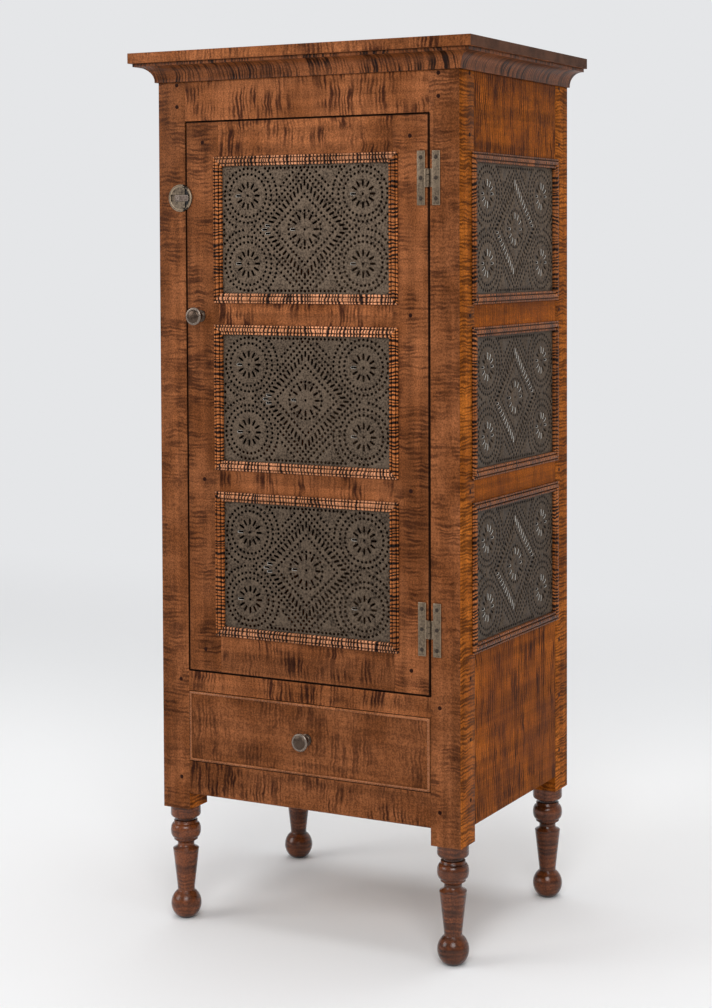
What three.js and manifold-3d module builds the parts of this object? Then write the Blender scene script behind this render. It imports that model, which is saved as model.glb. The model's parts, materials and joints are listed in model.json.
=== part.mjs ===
// Pie safe: an upright food cupboard on turned legs, with punched tin panels in its door and both sides,
// an inset drawer below and a round sliding-bolt latch. Millimetres, Z up, and the front faces -Y.
// The origin is on the floor, under the middle of the top board.
import * as THREE from "three";
import { mergeVertices } from "three/addons/utils/BufferGeometryUtils.js";
import Module from "manifold-3d";

// Clearances
const seam = 0.1; // between parts that butt against each other
const fit = 0.3; // round tenons, housed boards and other parts that slide home
const overrun = 1; // how far a cut runs past the face it opens

// Posts and the openings for the tins, which set the size of the whole case
const postSide = 53.6;
const tinRows = 3;
const tinOpeningWidth = 333.3;
const tinOpeningHeight = 228.5;
const doorStile = 64;
const doorGap = 1.4;

// Heights, from the floor up
const legHeight = 198;
const blockDrop = 27.6; // how far the posts' square blocks reach below the rails
const bottomRailHeight = 58;
const drawerOpeningHeight = 122.5;
const middleRailHeight = 34;
const topRailHeight = 99;
const topThickness = 17.5;
const topOverhang = 38;

// Rails, joints and boards
const frontRailThickness = 22;
const sideRailThickness = 20;
const tenonThickness = 8;
const tenonLength = 21;
const tenonShoulder = 6;
const widestTenon = 110; // a wider rail has two tenons
const tenonGap = 24;
const backThickness = 10;
const backLap = 10;
const backBoards = 5;
const backGroove = 2.4;
const shelfThickness = 18;
const floorThickness = 16;
const housingDepth = 7;
const shelfSetBack = 2;
const kickerWidth = 20;
const runnerThickness = 20;
const runnerReach = 18; // how far a runner reaches in under the drawer side
const guideHeight = 16;

// Cove moulding under the top board
const coveRadius = 24;
const coveSteps = 6;
const crownToe = 5;
const crownToeHeight = 2.2;
const crownQuirk = 2.8;
const crownFillet = 5.5;

// Tins and the mitred frames that hold them
const tinThickness = 0.6;
const seatWidth = 6;
const seatDepth = 3.4;
const frameLap = 9; // how far a frame covers the wood round its opening
const frameWidth = 16.2;
const frameEdge = 2.2;
const frameBead = 3.2;
const frameBand = 4.8;
const frameQuirk = 1.9;
const outerBeadWidth = 3;
const bandWidth = 7;
const quirkWidth = 1;

// Punched pattern of a tin
const starAcross = 109.7; // from the tin's centre to a corner star's
const starUp = 56.9;
const starInner = 12.5;
const starOuter = 23.6;
const starSlits = 6;
const diamondAcross = 77;
const diamondUp = 77;
const diamondSlits = 3; // along each side
const diamondSlitLength = 13;
const slitWidth = 3;

// Door
const doorThickness = 20;
const doorTopRail = 69;
const doorMiddleRail = 55;
const doorBottomRail = 73;

// Hinges, each two H-shaped leaves and a pin
const hingeFromTop = 103;
const hingeFromBottom = 108;
const leafWidth = 14;
const leafHeight = 87;
const leafThickness = 2;
const leafInset = 6.5; // from the pin's axis to a leaf's near edge
const neckHeight = 30;
const barrelRadius = 2.7;
const pinRadius = 1.3;
const knuckles = 3;
const barrelSides = 10;

// Round latch
const latchDrop = 128.5; // from the door's top edge to the disc's centre
const latchRadius = 23.3;
const latchFromGap = 10.2; // from the disc's centre to the middle of the gap it spans
const latchBase = 0.9;
const latchField = 2.8;
const latchRim = 3.8;
const latchRimWidth = 4.5;
const latchSides = 24;
const boltLength = 27.6;
const boltWidth = 10.6;
const boltFlare = 0.9; // how much wider the bolt is at its foot, on each edge
const boltTop = 4;
const boltReach = 17.4; // from the disc's centre to the thrown bolt's tip
const boltTipRadius = 8.7;
const boltTipSides = 14;
const boltTipRoom = 2.2; // from the thrown bolt's tip to its channel's end
const boltTravel = 8.6;
const boltKnobRadius = 3.8;
const boltKnobHeight = 3;
const boltKnobSet = 2.4; // left of the disc's centre when thrown
const boltKnobWaistShare = 0.8;
const boltKnobCrownShare = 0.7;
const boltKnobSides = 10;

// Knobs of the door and the drawer
const knobRadius = 15.4;
const knobReach = 26.5;
const knobFlare = 9.3;
const knobNeck = 5.3;
const knobCapEdge = 2.4;
const knobShank = 3;
const knobSides = 14;
const doorKnobInset = 27;
const doorKnobDrop = 4; // below the middle of the rail beside it

// Drawer
const drawerGap = 1.2;
const drawerFrontThickness = 20;
const drawerSideThickness = 11;
const drawerBackRoom = 30.5; // from the drawer's back to the back panel
const drawerBottomThickness = 6;
const drawerBottomRise = 12;
const grooveDepth = 5;
const beadWidth = 4.5;
const beadProud = 3;
const beadDepth = 6;
const beadSteps = 3;
const tailCount = 3;
const tailLength = 12;
const tailSlope = 2;
const tailGap = 12;

// Turned leg, from the floor up
const legSides = 14;
const footRadius = 11.5;
const ballRadius = 26.2;
const ballHeight = 50;
const ballSteps = 5;
const ankleRadius = 14.6;
const taperTopRadius = 22.6;
const taperTopHeight = 121.5;
const flareHeight = 126;
const neckRadius = 14.5;
const neckTopHeight = 133.5;
const lowerFilletRadius = 20.8;
const lowerFilletHeight = 138;
const beadHeight = 154;
const beadRadius = 26.2;
const beadHalf = 12.5;
const beadArcSteps = 4;
const upperFilletRadius = 20.4;
const upperFilletHeight = 166.5;
const collarNeckRadius = 16;
const collarNeckHeight = 172;
const collarNeckTop = 177;
const collarRadius = 26;
const collarRound = 6;

// Places worked out from the sizes
const doorWidth = tinOpeningWidth + 2 * doorStile;
const doorHeight =
  doorBottomRail + doorTopRail + (tinRows - 1) * doorMiddleRail + tinRows * tinOpeningHeight;
const openHalf = doorWidth / 2 + doorGap;
const caseHalf = openHalf + postSide;
const caseDepth = 2 * postSide + tinOpeningWidth;
const boardDepth = caseDepth + topOverhang;
const frontY = topOverhang - boardDepth / 2;
const backY = boardDepth / 2;
const bottomRailZ = legHeight + blockDrop;
const drawerZ = bottomRailZ + bottomRailHeight;
const middleRailZ = drawerZ + drawerOpeningHeight;
const doorOpeningZ = middleRailZ + middleRailHeight;
const doorZ = doorOpeningZ + doorGap;
const topRailZ = doorZ + doorHeight + doorGap;
const caseTop = topRailZ + topRailHeight;
const fullHeight = caseTop + topThickness;
const sideInner = caseHalf - sideRailThickness;
const frontPostBack = frontY + postSide;
const backPostFront = backY - postSide;
const backPanelFront = backY - backThickness;
const drawerLength = backPanelFront - frontY - drawerBackRoom;
const tinPitch = tinOpeningHeight + doorMiddleRail;
const firstTinRise = doorBottomRail; // above the door's bottom edge
const tinOpening = (row) => {
  const low = doorZ + firstTinRise + row * tinPitch;
  return [low, low + tinOpeningHeight];
};

// Finishes
const frontMaple = new THREE.MeshStandardMaterial({ color: 0x8a4b26, roughness: 0.42, metalness: 0 });
const sideMaple = new THREE.MeshStandardMaterial({ color: 0x9a5a28, roughness: 0.42, metalness: 0 });
const paleMaple = new THREE.MeshStandardMaterial({ color: 0xb0713f, roughness: 0.45, metalness: 0 });
const innerMaple = new THREE.MeshStandardMaterial({ color: 0xa9825a, roughness: 0.7, metalness: 0 });
const agedTin = new THREE.MeshStandardMaterial({ color: 0x645d53, roughness: 0.5, metalness: 0.7 });
const pewter = new THREE.MeshStandardMaterial({ color: 0x7d7468, roughness: 0.4, metalness: 0.85 });
const darkMetal = new THREE.MeshStandardMaterial({ color: 0x463c36, roughness: 0.4, metalness: 0.8 });

const wasm = await Module();
wasm.setup();

// A closed solid from a three.js geometry, with its corners merged and empty triangles left out
function solidOf(geometry) {
  geometry.deleteAttribute("normal");
  geometry.deleteAttribute("uv");
  const merged = mergeVertices(geometry);
  const corners = merged.index.array;
  const kept = [];
  for (let i = 0; i < corners.length; i += 3) {
    const [a, b, c] = [corners[i], corners[i + 1], corners[i + 2]];
    if (a !== b && b !== c && c !== a) kept.push(a, b, c);
  }
  const positions = merged.attributes.position.array;
  return new wasm.Manifold(
    new wasm.Mesh({ numProp: 3, vertProperties: positions, triVerts: new Uint32Array(kept) }),
  );
}

// A named mesh from a solid
function meshOf(name, solid, material) {
  const { vertProperties, triVerts } = solid.getMesh();
  const geometry = new THREE.BufferGeometry();
  geometry.setAttribute("position", new THREE.BufferAttribute(vertProperties, 3));
  geometry.setIndex(new THREE.BufferAttribute(triVerts, 1));
  const faceted = geometry.toNonIndexed();
  faceted.computeVertexNormals();
  const mesh = new THREE.Mesh(faceted, material);
  mesh.name = name;
  return mesh;
}

const span = (a, b) => [Math.min(a, b), Math.max(a, b)];
const grow = ([low, high], by) => [low - by, high + by];
const middleOf = ([low, high]) => (low + high) / 2;

// A rectangular block between the ends given for each axis
function block(x, y, z) {
  const box = new THREE.BoxGeometry(x[1] - x[0], y[1] - y[0], z[1] - z[0]);
  box.translate(middleOf(x), middleOf(y), middleOf(z));
  return solidOf(box);
}

const joined = (solids) => solids.reduce((whole, next) => whole.add(next));
const cutBy = (solid, cutters) => cutters.reduce((left, cutter) => left.subtract(cutter), solid);

// A shape drawn on the XZ plane and given its thickness along +Y, from y
function plate(shape, y, thickness) {
  const geometry = new THREE.ExtrudeGeometry(shape, { depth: thickness, bevelEnabled: false });
  geometry.rotateX(Math.PI / 2);
  geometry.translate(0, y + thickness, 0);
  return solidOf(geometry);
}

// A profile of [radius, height] points turned about Z
function turned(profile, sides) {
  const points = profile.map(([radius, height]) => new THREE.Vector2(radius, height));
  const geometry = new THREE.LatheGeometry(points, sides);
  geometry.rotateX(Math.PI / 2);
  return solidOf(geometry);
}

// A profile of [radius, distance] points turned about an axis that points out of the front, along -Y
function turnedOutward(profile, sides) {
  const points = profile.map(([radius, out]) => new THREE.Vector2(radius, out));
  const geometry = new THREE.LatheGeometry(points, sides);
  geometry.rotateX(Math.PI);
  return solidOf(geometry);
}

// Points on a stretch of an ellipse; angles in radians, from the +radius direction towards +height
function arcPoints([atRadius, atHeight], [wide, tall], [from, to], steps) {
  const points = [];
  for (let i = 0; i <= steps; i += 1) {
    const angle = from + ((to - from) * i) / steps;
    points.push([atRadius + wide * Math.cos(angle), atHeight + tall * Math.sin(angle)]);
  }
  return points;
}

// A moulding mitred round corners. Its section is a closed run of [inward, out] points, cornersAt gives the
// path's corners for a distance inward, and out points along -Y, or up where upright is set.
function mitred(section, cornersAt, closed, upright) {
  const stations = cornersAt(0).length;
  const count = section.length;
  const positions = [];
  for (let s = 0; s < stations; s += 1) {
    for (const [inward, out] of section) {
      const [across, along] = cornersAt(inward)[s];
      positions.push(across, upright ? along : -out, upright ? out : along);
    }
  }
  const faces = [];
  // Laying the path flat instead of upright turns every face over
  const face = (a, b, c) => faces.push(a, upright ? b : c, upright ? c : b);
  const runs = closed ? stations : stations - 1;
  for (let s = 0; s < runs; s += 1) {
    const here = s * count;
    const next = ((s + 1) % stations) * count;
    for (let p = 0; p < count; p += 1) {
      const q = (p + 1) % count;
      face(here + p, next + p, next + q);
      face(here + p, next + q, here + q);
    }
  }
  if (!closed) {
    const outline = section.map(([inward, out]) => new THREE.Vector2(inward, out));
    const last = (stations - 1) * count;
    for (const [a, b, c] of THREE.ShapeUtils.triangulateShape(outline, [])) {
      face(a, b, c);
      face(last + a, last + c, last + b);
    }
  }
  const geometry = new THREE.BufferGeometry();
  geometry.setAttribute("position", new THREE.Float32BufferAttribute(positions, 3));
  geometry.setIndex(faces);
  return solidOf(geometry);
}

// Tenons of a rail that spans z, one above the other
function tenonSpans(z) {
  const [low, high] = grow(z, -tenonShoulder);
  if (high - low < widestTenon) return [[low, high]];
  const middle = (low + high) / 2;
  return [
    [low, middle - tenonGap / 2],
    [middle + tenonGap / 2, high],
  ];
}

// Rails of the front frame
const frontRails = {
  front_bottom_rail: [bottomRailZ, drawerZ],
  front_middle_rail: [middleRailZ, doorOpeningZ],
  front_top_rail: [topRailZ, caseTop],
};
const frontTenonY = span(
  frontY + (frontRailThickness - tenonThickness) / 2,
  frontY + (frontRailThickness + tenonThickness) / 2,
);

function frontRail(name) {
  const z = frontRails[name];
  const body = block(
    grow([-openHalf, openHalf], -seam),
    [frontY, frontY + frontRailThickness],
    [z[0], z[1] - seam],
  );
  const tenons = tenonSpans(z).map((t) => block(grow([-openHalf, openHalf], tenonLength), frontTenonY, t));
  return meshOf(name, joined([body, ...tenons]), frontMaple);
}

// Rails of a side, from the bottom up
const sideRails = [
  ["side_bottom_rail", [bottomRailZ, tinOpening(0)[0]]],
  ["side_lower_rail", [tinOpening(0)[1], tinOpening(1)[0]]],
  ["side_upper_rail", [tinOpening(1)[1], tinOpening(2)[0]]],
  ["side_top_rail", [tinOpening(tinRows - 1)[1], caseTop]],
];
const sideName = (side) => (side < 0 ? "left" : "right");
const sideTenonX = (side) =>
  span(
    side * (caseHalf - (sideRailThickness - tenonThickness) / 2),
    side * (caseHalf - (sideRailThickness + tenonThickness) / 2),
  );

// Shallow seats for the tins of one side, cut into the posts and rails round each opening
function sideSeats(side) {
  return Array.from({ length: tinRows }, (_, row) =>
    block(
      span(side * (caseHalf + overrun), side * (caseHalf - seatDepth)),
      grow([frontPostBack, backPostFront], seatWidth),
      grow(tinOpening(row), seatWidth),
    ),
  );
}

// Boards that lie across the inside, each as the span of its thickness
const shelfSpan = (railZ) => {
  const middle = middleOf(railZ);
  return [middle - shelfThickness / 2, middle + shelfThickness / 2];
};
const floorSpan = [doorOpeningZ - floorThickness, doorOpeningZ];
const lowerShelfSpan = shelfSpan(sideRails[1][1]);
const upperShelfSpan = shelfSpan(sideRails[2][1]);

// Housings for those boards in the inner faces of one side's rails
function housings(side) {
  return [floorSpan, lowerShelfSpan, upperShelfSpan].map((z) =>
    block(
      span(side * (sideInner - overrun), side * (sideInner + housingDepth)),
      [frontPostBack - overrun, backPostFront + overrun],
      grow(z, fit),
    ),
  );
}

// The drawer's runner and guide, glued to the inner face of the bottom side rail
function runner(side) {
  const runY = [frontY + frontRailThickness + fit, backPanelFront - fit];
  const betweenPosts = grow([frontPostBack, backPostFront], -fit);
  const inner = side * (openHalf - fit);
  const runnerZ = [drawerZ - runnerThickness, drawerZ];
  return [
    block(span(inner, side * (openHalf - runnerReach)), runY, runnerZ),
    block(span(side * (openHalf - runnerReach), side * (sideInner + seam)), betweenPosts, runnerZ),
    block(span(side * openHalf, side * (sideInner + seam)), betweenPosts, [drawerZ, drawerZ + guideHeight]),
  ];
}

function sideRail(side, [name, z]) {
  const y = [frontPostBack, backPostFront];
  const x = span(side * caseHalf, side * sideInner);
  const tenons = tenonSpans(z).map((t) => block(sideTenonX(side), grow(y, tenonLength), t));
  const body = block(x, grow(y, -seam), [z[0], z[1] - seam]);
  const rail = cutBy(joined([body, ...tenons]), [...sideSeats(side), ...housings(side)]);
  const whole = name === "side_bottom_rail" ? joined([rail, ...runner(side)]) : rail;
  return meshOf(`${name}_${sideName(side)}`, whole, sideMaple);
}

// Outline of the turned leg, on the axis at the floor and at the top
function legProfile() {
  const ballMiddle = ballHeight / 2;
  const ballFrom = -Math.acos(footRadius / ballRadius);
  const ballTo = Math.acos(ankleRadius / ballRadius);
  const ballTall = ballMiddle / Math.sin(-ballFrom);
  const waist = [neckRadius, (flareHeight + neckTopHeight) / 2];
  return [
    [0, 0],
    ...arcPoints([0, ballMiddle], [ballRadius, ballTall], [ballFrom, ballTo], ballSteps),
    [taperTopRadius, taperTopHeight],
    [neckRadius, flareHeight],
    waist,
    [neckRadius, neckTopHeight],
    [lowerFilletRadius, lowerFilletHeight],
    ...arcPoints(
      [lowerFilletRadius, beadHeight],
      [beadRadius - lowerFilletRadius, beadHalf],
      [-Math.PI / 2, Math.PI / 2],
      beadArcSteps,
    ),
    [upperFilletRadius, upperFilletHeight + fit],
    [upperFilletRadius, collarNeckHeight],
    [collarNeckRadius, collarNeckHeight],
    [collarNeckRadius, collarNeckTop],
    ...arcPoints(
      [collarRadius - collarRound, collarNeckTop + collarRound],
      [collarRound, collarRound],
      [-Math.PI / 2, 0],
      2,
    ),
    [collarRadius, legHeight + overrun],
    [0, legHeight + overrun],
  ];
}

// A corner post. side is -1 at the left and 1 at the right; end is -1 at the front and 1 at the back.
function post(name, side, end) {
  const x = span(side * openHalf, side * caseHalf);
  const y = end < 0 ? [frontY, frontPostBack] : [backPostFront, backY];
  const leg = turned(legProfile(), legSides).translate([middleOf(x), middleOf(y), 0]);
  const cuts = sideSeats(side);
  const inward = end < 0 ? frontPostBack : backPostFront;
  for (const [, z] of sideRails) {
    for (const t of tenonSpans(z)) {
      const mortiseY = span(inward - end * overrun, inward + end * (tenonLength + fit));
      cuts.push(block(grow(sideTenonX(side), fit), mortiseY, grow(t, fit)));
    }
  }
  if (end < 0) {
    const mortiseX = span(side * (openHalf - overrun), side * (openHalf + tenonLength + fit));
    for (const z of Object.values(frontRails)) {
      for (const t of tenonSpans(z)) cuts.push(block(mortiseX, grow(frontTenonY, fit), grow(t, fit)));
    }
  } else {
    cuts.push(
      block(
        span(side * (openHalf - overrun), side * (openHalf + backLap + fit)),
        [backPanelFront - fit, backY + overrun],
        [bottomRailZ - fit, caseTop + overrun],
      ),
    );
  }
  const body = block(x, y, [legHeight, caseTop - seam]);
  return meshOf(name, cutBy(body.add(leg), cuts), frontMaple);
}

// The back: glued boards with a groove at each joint, nailed into the back posts
function backPanel() {
  const half = openHalf + backLap;
  const pitch = (2 * half) / backBoards;
  const board = block([-half, half], [backPanelFront, backY], [bottomRailZ, caseTop - seam]);
  const grooves = [];
  for (let joint = 1; joint < backBoards; joint += 1) {
    const at = joint * pitch - half;
    const groove = new THREE.Shape([
      new THREE.Vector2(at - backGroove, backY + overrun),
      new THREE.Vector2(at, backY - backGroove),
      new THREE.Vector2(at + backGroove, backY + overrun),
    ]);
    const geometry = new THREE.ExtrudeGeometry(groove, { depth: caseTop, bevelEnabled: false });
    geometry.translate(0, 0, bottomRailZ - overrun);
    grooves.push(solidOf(geometry));
  }
  return meshOf("back_panel", cutBy(board, grooves), innerMaple);
}

// A board housed in both sides, notched round the posts, from a front edge to the back panel
function housedBoard(z, front) {
  const housed = grow([-sideInner, sideInner], housingDepth - fit);
  const betweenPosts = grow([frontPostBack, backPostFront], -fit);
  return block(housed, betweenPosts, z).add(
    block(grow([-openHalf, openHalf], -fit), [front, backPanelFront - fit], z),
  );
}

const shelfFront = frontY + doorThickness + shelfSetBack;
const lowerShelf = () =>
  meshOf("shelf_lower", housedBoard(lowerShelfSpan, shelfFront), innerMaple);
const upperShelf = () =>
  meshOf("shelf_upper", housedBoard(upperShelfSpan, shelfFront), innerMaple);

// The cupboard's floor, with a batten at each side that keeps the drawer from tipping
function cupboardFloor() {
  const front = frontY + frontRailThickness + fit;
  const kickers = [-1, 1].map((side) =>
    block(
      span(side * (openHalf - fit), side * (openHalf - kickerWidth)),
      [front, backPanelFront - fit],
      [middleRailZ, doorOpeningZ - floorThickness + seam],
    ),
  );
  return meshOf("cupboard_floor", joined([housedBoard(floorSpan, front), ...kickers]), innerMaple);
}

const topBoard = () =>
  meshOf(
    "top_board",
    block(grow([-caseHalf, caseHalf], topOverhang), [frontY - topOverhang, backY], [caseTop, fullHeight]),
    frontMaple,
  );

// Cove moulding along the front and both sides, open at the back
function crown() {
  const toeTop = crownToeHeight;
  const coveTop = toeTop + coveRadius;
  const top = coveTop + crownFillet;
  const reach = crownToe + coveRadius + crownQuirk;
  const cove = arcPoints(
    [crownToe + coveRadius, toeTop],
    [coveRadius, coveRadius],
    [Math.PI, Math.PI / 2],
    coveSteps,
  );
  const outline = [
    [seam, 0],
    [crownToe, 0],
    ...cove,
    [reach, coveTop],
    [reach, top - seam],
    [seam, top - seam],
  ];
  const section = outline.map(([out, up]) => [out, caseTop - top + up]);
  const corners = (out) => [
    [-caseHalf - out, backY],
    [-caseHalf - out, frontY - out],
    [caseHalf + out, frontY - out],
    [caseHalf + out, backY],
  ];
  return meshOf("crown_moulding", mitred(section, corners, false, true), frontMaple);
}

// A slit through a tin: a long wedge from its tail, on [x, z], towards an angle
function slit([x, z], angle, length) {
  const tail = new THREE.Vector2(x, z);
  const ahead = new THREE.Vector2(Math.cos(angle), Math.sin(angle));
  const aside = new THREE.Vector2(-ahead.y, ahead.x).multiplyScalar(slitWidth / 2);
  const end = tail.clone().addScaledVector(ahead, length);
  const wedge = new THREE.Shape([tail, end.clone().sub(aside), end.clone().add(aside)]);
  return plate(wedge, -overrun, tinThickness + 2 * overrun);
}

// Slits that point away from a centre
function star(x, z) {
  return Array.from({ length: starSlits }, (_, i) => {
    const angle = (2 * Math.PI * (i + 0.5)) / starSlits;
    const tail = [x + starInner * Math.cos(angle), z + starInner * Math.sin(angle)];
    return slit(tail, angle, starOuter - starInner);
  });
}

// Slits square to one side of the diamond round the middle star
function diamondSide(right, up) {
  const angle = Math.atan2(up * diamondAcross, right * diamondUp);
  const half = diamondSlitLength / 2;
  return Array.from({ length: diamondSlits }, (_, i) => {
    const share = (i + 0.5) / diamondSlits;
    const middle = [right * diamondAcross * (1 - share), up * diamondUp * share];
    return slit(
      [middle[0] - half * Math.cos(angle), middle[1] - half * Math.sin(angle)],
      angle,
      diamondSlitLength,
    );
  });
}

// A tin, centred on the origin with its face at y = 0 and its back at +y
function tinSolid() {
  const sheet = block(
    grow([-tinOpeningWidth / 2, tinOpeningWidth / 2], seatWidth - fit),
    [0, tinThickness],
    grow([-tinOpeningHeight / 2, tinOpeningHeight / 2], seatWidth - fit),
  );
  const quarters = [-1, 1].flatMap((right) => [-1, 1].map((up) => [right, up]));
  const slits = quarters.flatMap(([right, up]) => [
    ...star(right * starAcross, up * starUp),
    ...diamondSide(right, up),
  ]);
  return cutBy(sheet, [...star(0, 0), ...slits]);
}

// The mitred frame over a tin, with y = 0 on the face of the wood round it
function tinFrameSolid() {
  const beadEnd = outerBeadWidth;
  const bandStart = beadEnd + quirkWidth;
  const bandEnd = bandStart + bandWidth;
  const innerBeadStart = bandEnd + quirkWidth;
  const legBottom = -(seatDepth - tinThickness - fit);
  const legStart = frameLap - seatWidth + fit;
  const section = [
    [0, seam],
    [0, frameEdge],
    [beadEnd / 2, frameBead],
    [beadEnd, frameQuirk],
    [bandStart, frameQuirk],
    [bandStart + bandWidth / 3, frameBand],
    [bandEnd - bandWidth / 3, frameBand],
    [bandEnd, frameQuirk],
    [innerBeadStart, frameQuirk],
    [(innerBeadStart + frameWidth) / 2, frameBead],
    [frameWidth, frameQuirk / 2],
    [frameWidth, legBottom],
    [legStart, legBottom],
    [legStart, seam],
  ];
  const halfWidth = tinOpeningWidth / 2 + frameLap;
  const halfHeight = tinOpeningHeight / 2 + frameLap;
  const corners = (inward) => [
    [inward - halfWidth, inward - halfHeight],
    [inward - halfWidth, halfHeight - inward],
    [halfWidth - inward, halfHeight - inward],
    [halfWidth - inward, inward - halfHeight],
  ];
  return mitred(section, corners, true, false);
}

// One panel's tin and frame, as a group whose face is at y = 0
function tinPanel(place, row) {
  const panel = new THREE.Group();
  const tin = meshOf(`${place}_tin_${row + 1}`, tinSolid(), agedTin);
  tin.position.y = seatDepth - tinThickness - seam;
  panel.add(tin, meshOf(`${place}_tin_frame_${row + 1}`, tinFrameSolid(), paleMaple));
  return panel;
}

// Door, in its own frame: x from the latch edge, y from the face back, z from the bottom edge
const doorLowerRailZ = [doorBottomRail + tinOpeningHeight, doorBottomRail + tinPitch];
const doorUpperRailZ = doorLowerRailZ.map((at) => at + tinPitch);
const doorRails = [
  ["door_bottom_rail", [0, doorBottomRail]],
  ["door_lower_rail", doorLowerRailZ],
  ["door_upper_rail", doorUpperRailZ],
  ["door_top_rail", [doorHeight - doorTopRail, doorHeight]],
];
const doorTenonY = [(doorThickness - tenonThickness) / 2, (doorThickness + tenonThickness) / 2];
const doorSeats = () =>
  Array.from({ length: tinRows }, (_, row) => {
    const low = firstTinRise + row * tinPitch;
    return block(
      grow([doorStile, doorWidth - doorStile], seatWidth),
      [-overrun, seatDepth],
      grow([low, low + tinOpeningHeight], seatWidth),
    );
  });
const doorKnobAt = [doorKnobInset, middleOf(doorUpperRailZ) - doorKnobDrop];

// A bore from front to back for a knob's shank, centred on [x, z]
function shankBore([x, z], thickness) {
  const reach = thickness + overrun;
  const radius = knobShank + fit;
  const profile = [
    [0, -reach],
    [radius, -reach],
    [radius, overrun],
    [0, overrun],
  ];
  return turnedOutward(profile, knobSides).translate([x, 0, z]);
}

// A door stile that spans x, with its mortised edge on the side that inward points to
function doorStileMesh(name, x, inward, cuts) {
  const edge = x[inward > 0 ? 1 : 0];
  const mortiseX = span(edge + inward * overrun, edge - inward * (tenonLength + fit));
  const mortises = doorRails.flatMap(([, z]) =>
    tenonSpans(z).map((t) => block(mortiseX, grow(doorTenonY, fit), grow(t, fit))),
  );
  const body = block(x, [0, doorThickness], [0, doorHeight]);
  return meshOf(name, cutBy(body, [...mortises, ...doorSeats(), ...cuts]), frontMaple);
}

function doorRail([name, z]) {
  const x = [doorStile, doorWidth - doorStile];
  const tenons = tenonSpans(z).map((t) => block(grow(x, tenonLength), doorTenonY, t));
  const body = block(grow(x, -seam), [0, doorThickness], z);
  return meshOf(name, cutBy(joined([body, ...tenons]), doorSeats()), frontMaple);
}

// Mushroom knob on a shank, with its axis along -Y from [x, z] on a face at y = 0
function knob(name, thickness) {
  const capBack = knobReach / 2;
  const capHeight = knobReach - capBack - knobCapEdge;
  const profile = [
    [0, -thickness],
    [knobShank, -thickness],
    [knobShank, seam],
    [knobFlare, seam],
    [knobFlare, knobCapEdge],
    [knobNeck + knobCapEdge / 2, 2 * knobCapEdge],
    [knobNeck, capBack - knobCapEdge],
    [knobRadius - knobCapEdge, capBack],
    [knobRadius, capBack + knobCapEdge],
    ...arcPoints([0, capBack + knobCapEdge], [knobRadius, capHeight], [0, Math.PI / 2], 4).slice(1),
  ];
  return meshOf(name, turnedOutward(profile, knobSides), darkMetal);
}

// Half of a hinge, with its pin's axis at x = y = 0 and its leaf towards side
const pinStandOff = barrelRadius + fit; // in front of the door's face
const knuckleHeight = neckHeight / knuckles;
function cylinder(radius, [low, high]) {
  const profile = [
    [0, low],
    [radius, low],
    [radius, high],
    [0, high],
  ];
  return turned(profile, barrelSides);
}

function hingeLeaf(name, side, carriesPin) {
  const back = pinStandOff - seam;
  const y = [back - leafThickness, back];
  const leaf = block(
    span(side * leafInset, side * (leafInset + leafWidth)),
    y,
    [-leafHeight / 2, leafHeight / 2],
  );
  const neckZ = [-neckHeight / 2, neckHeight / 2];
  const neck = block(span(side * (barrelRadius + fit), side * (leafInset + seam)), y, neckZ);
  const parts = [leaf, neck];
  for (let i = 0; i < knuckles; i += 1) {
    const low = neckZ[0] + i * knuckleHeight;
    const z = grow([low, low + knuckleHeight], -fit / 2);
    const mine = (i % 2 === 0) === carriesPin;
    if (!mine) continue;
    parts.push(block(span(0, side * (barrelRadius + 2 * fit)), y, z));
    parts.push(cylinder(barrelRadius, z));
  }
  if (carriesPin) return meshOf(name, joined([...parts, cylinder(pinRadius, neckZ)]), pewter);
  const bore = cylinder(pinRadius + fit, grow(neckZ, overrun));
  return meshOf(name, joined(parts).subtract(bore), pewter);
}

// Round latch, with the disc's centre at x = z = 0 and the wood's face at y = 0
function latchDisc() {
  const rimStart = latchRadius - latchRimWidth;
  return turnedOutward(
    [
      [0, seam],
      [latchRadius, seam],
      [latchRadius, latchField],
      [latchRadius - latchRimWidth / 3, latchRim],
      [rimStart + latchRimWidth / 3, latchRim],
      [rimStart, latchField],
      [0, latchField],
    ],
    latchSides,
  );
}

// The bolt's dovetailed bar between two ends, with extra room all round where it cuts its channel
function boltBar(from, to, low, high, room) {
  const foot = boltWidth / 2 + boltFlare + room;
  const head = boltWidth / 2 + room;
  const shoulder = Math.min(high, latchField);
  const outline = new THREE.Shape([
    new THREE.Vector2(-foot, low),
    new THREE.Vector2(foot, low),
    new THREE.Vector2(head, shoulder),
    new THREE.Vector2(head, high),
    new THREE.Vector2(-head, high),
    new THREE.Vector2(-head, shoulder),
  ]);
  const geometry = new THREE.ExtrudeGeometry(outline, { depth: to - from, bevelEnabled: false });
  // Its section's x becomes z, its y becomes -y, and its length runs along +x
  const turn = new THREE.Matrix4().makeBasis(
    new THREE.Vector3(0, 0, 1),
    new THREE.Vector3(0, -1, 0),
    new THREE.Vector3(1, 0, 0),
  );
  geometry.applyMatrix4(turn);
  geometry.translate(from, 0, 0);
  return solidOf(geometry);
}

const latchHalf = (name, x) => {
  const channelEnd = boltReach + boltTipRoom;
  const channel = boltBar(
    boltReach - boltLength - boltTravel - fit,
    channelEnd,
    latchBase,
    latchRim + overrun,
    fit,
  );
  const kept = block(x, [-latchRim - overrun, overrun], grow([-latchRadius, latchRadius], overrun));
  return meshOf(name, latchDisc().intersect(kept).subtract(channel), pewter);
};

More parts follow.
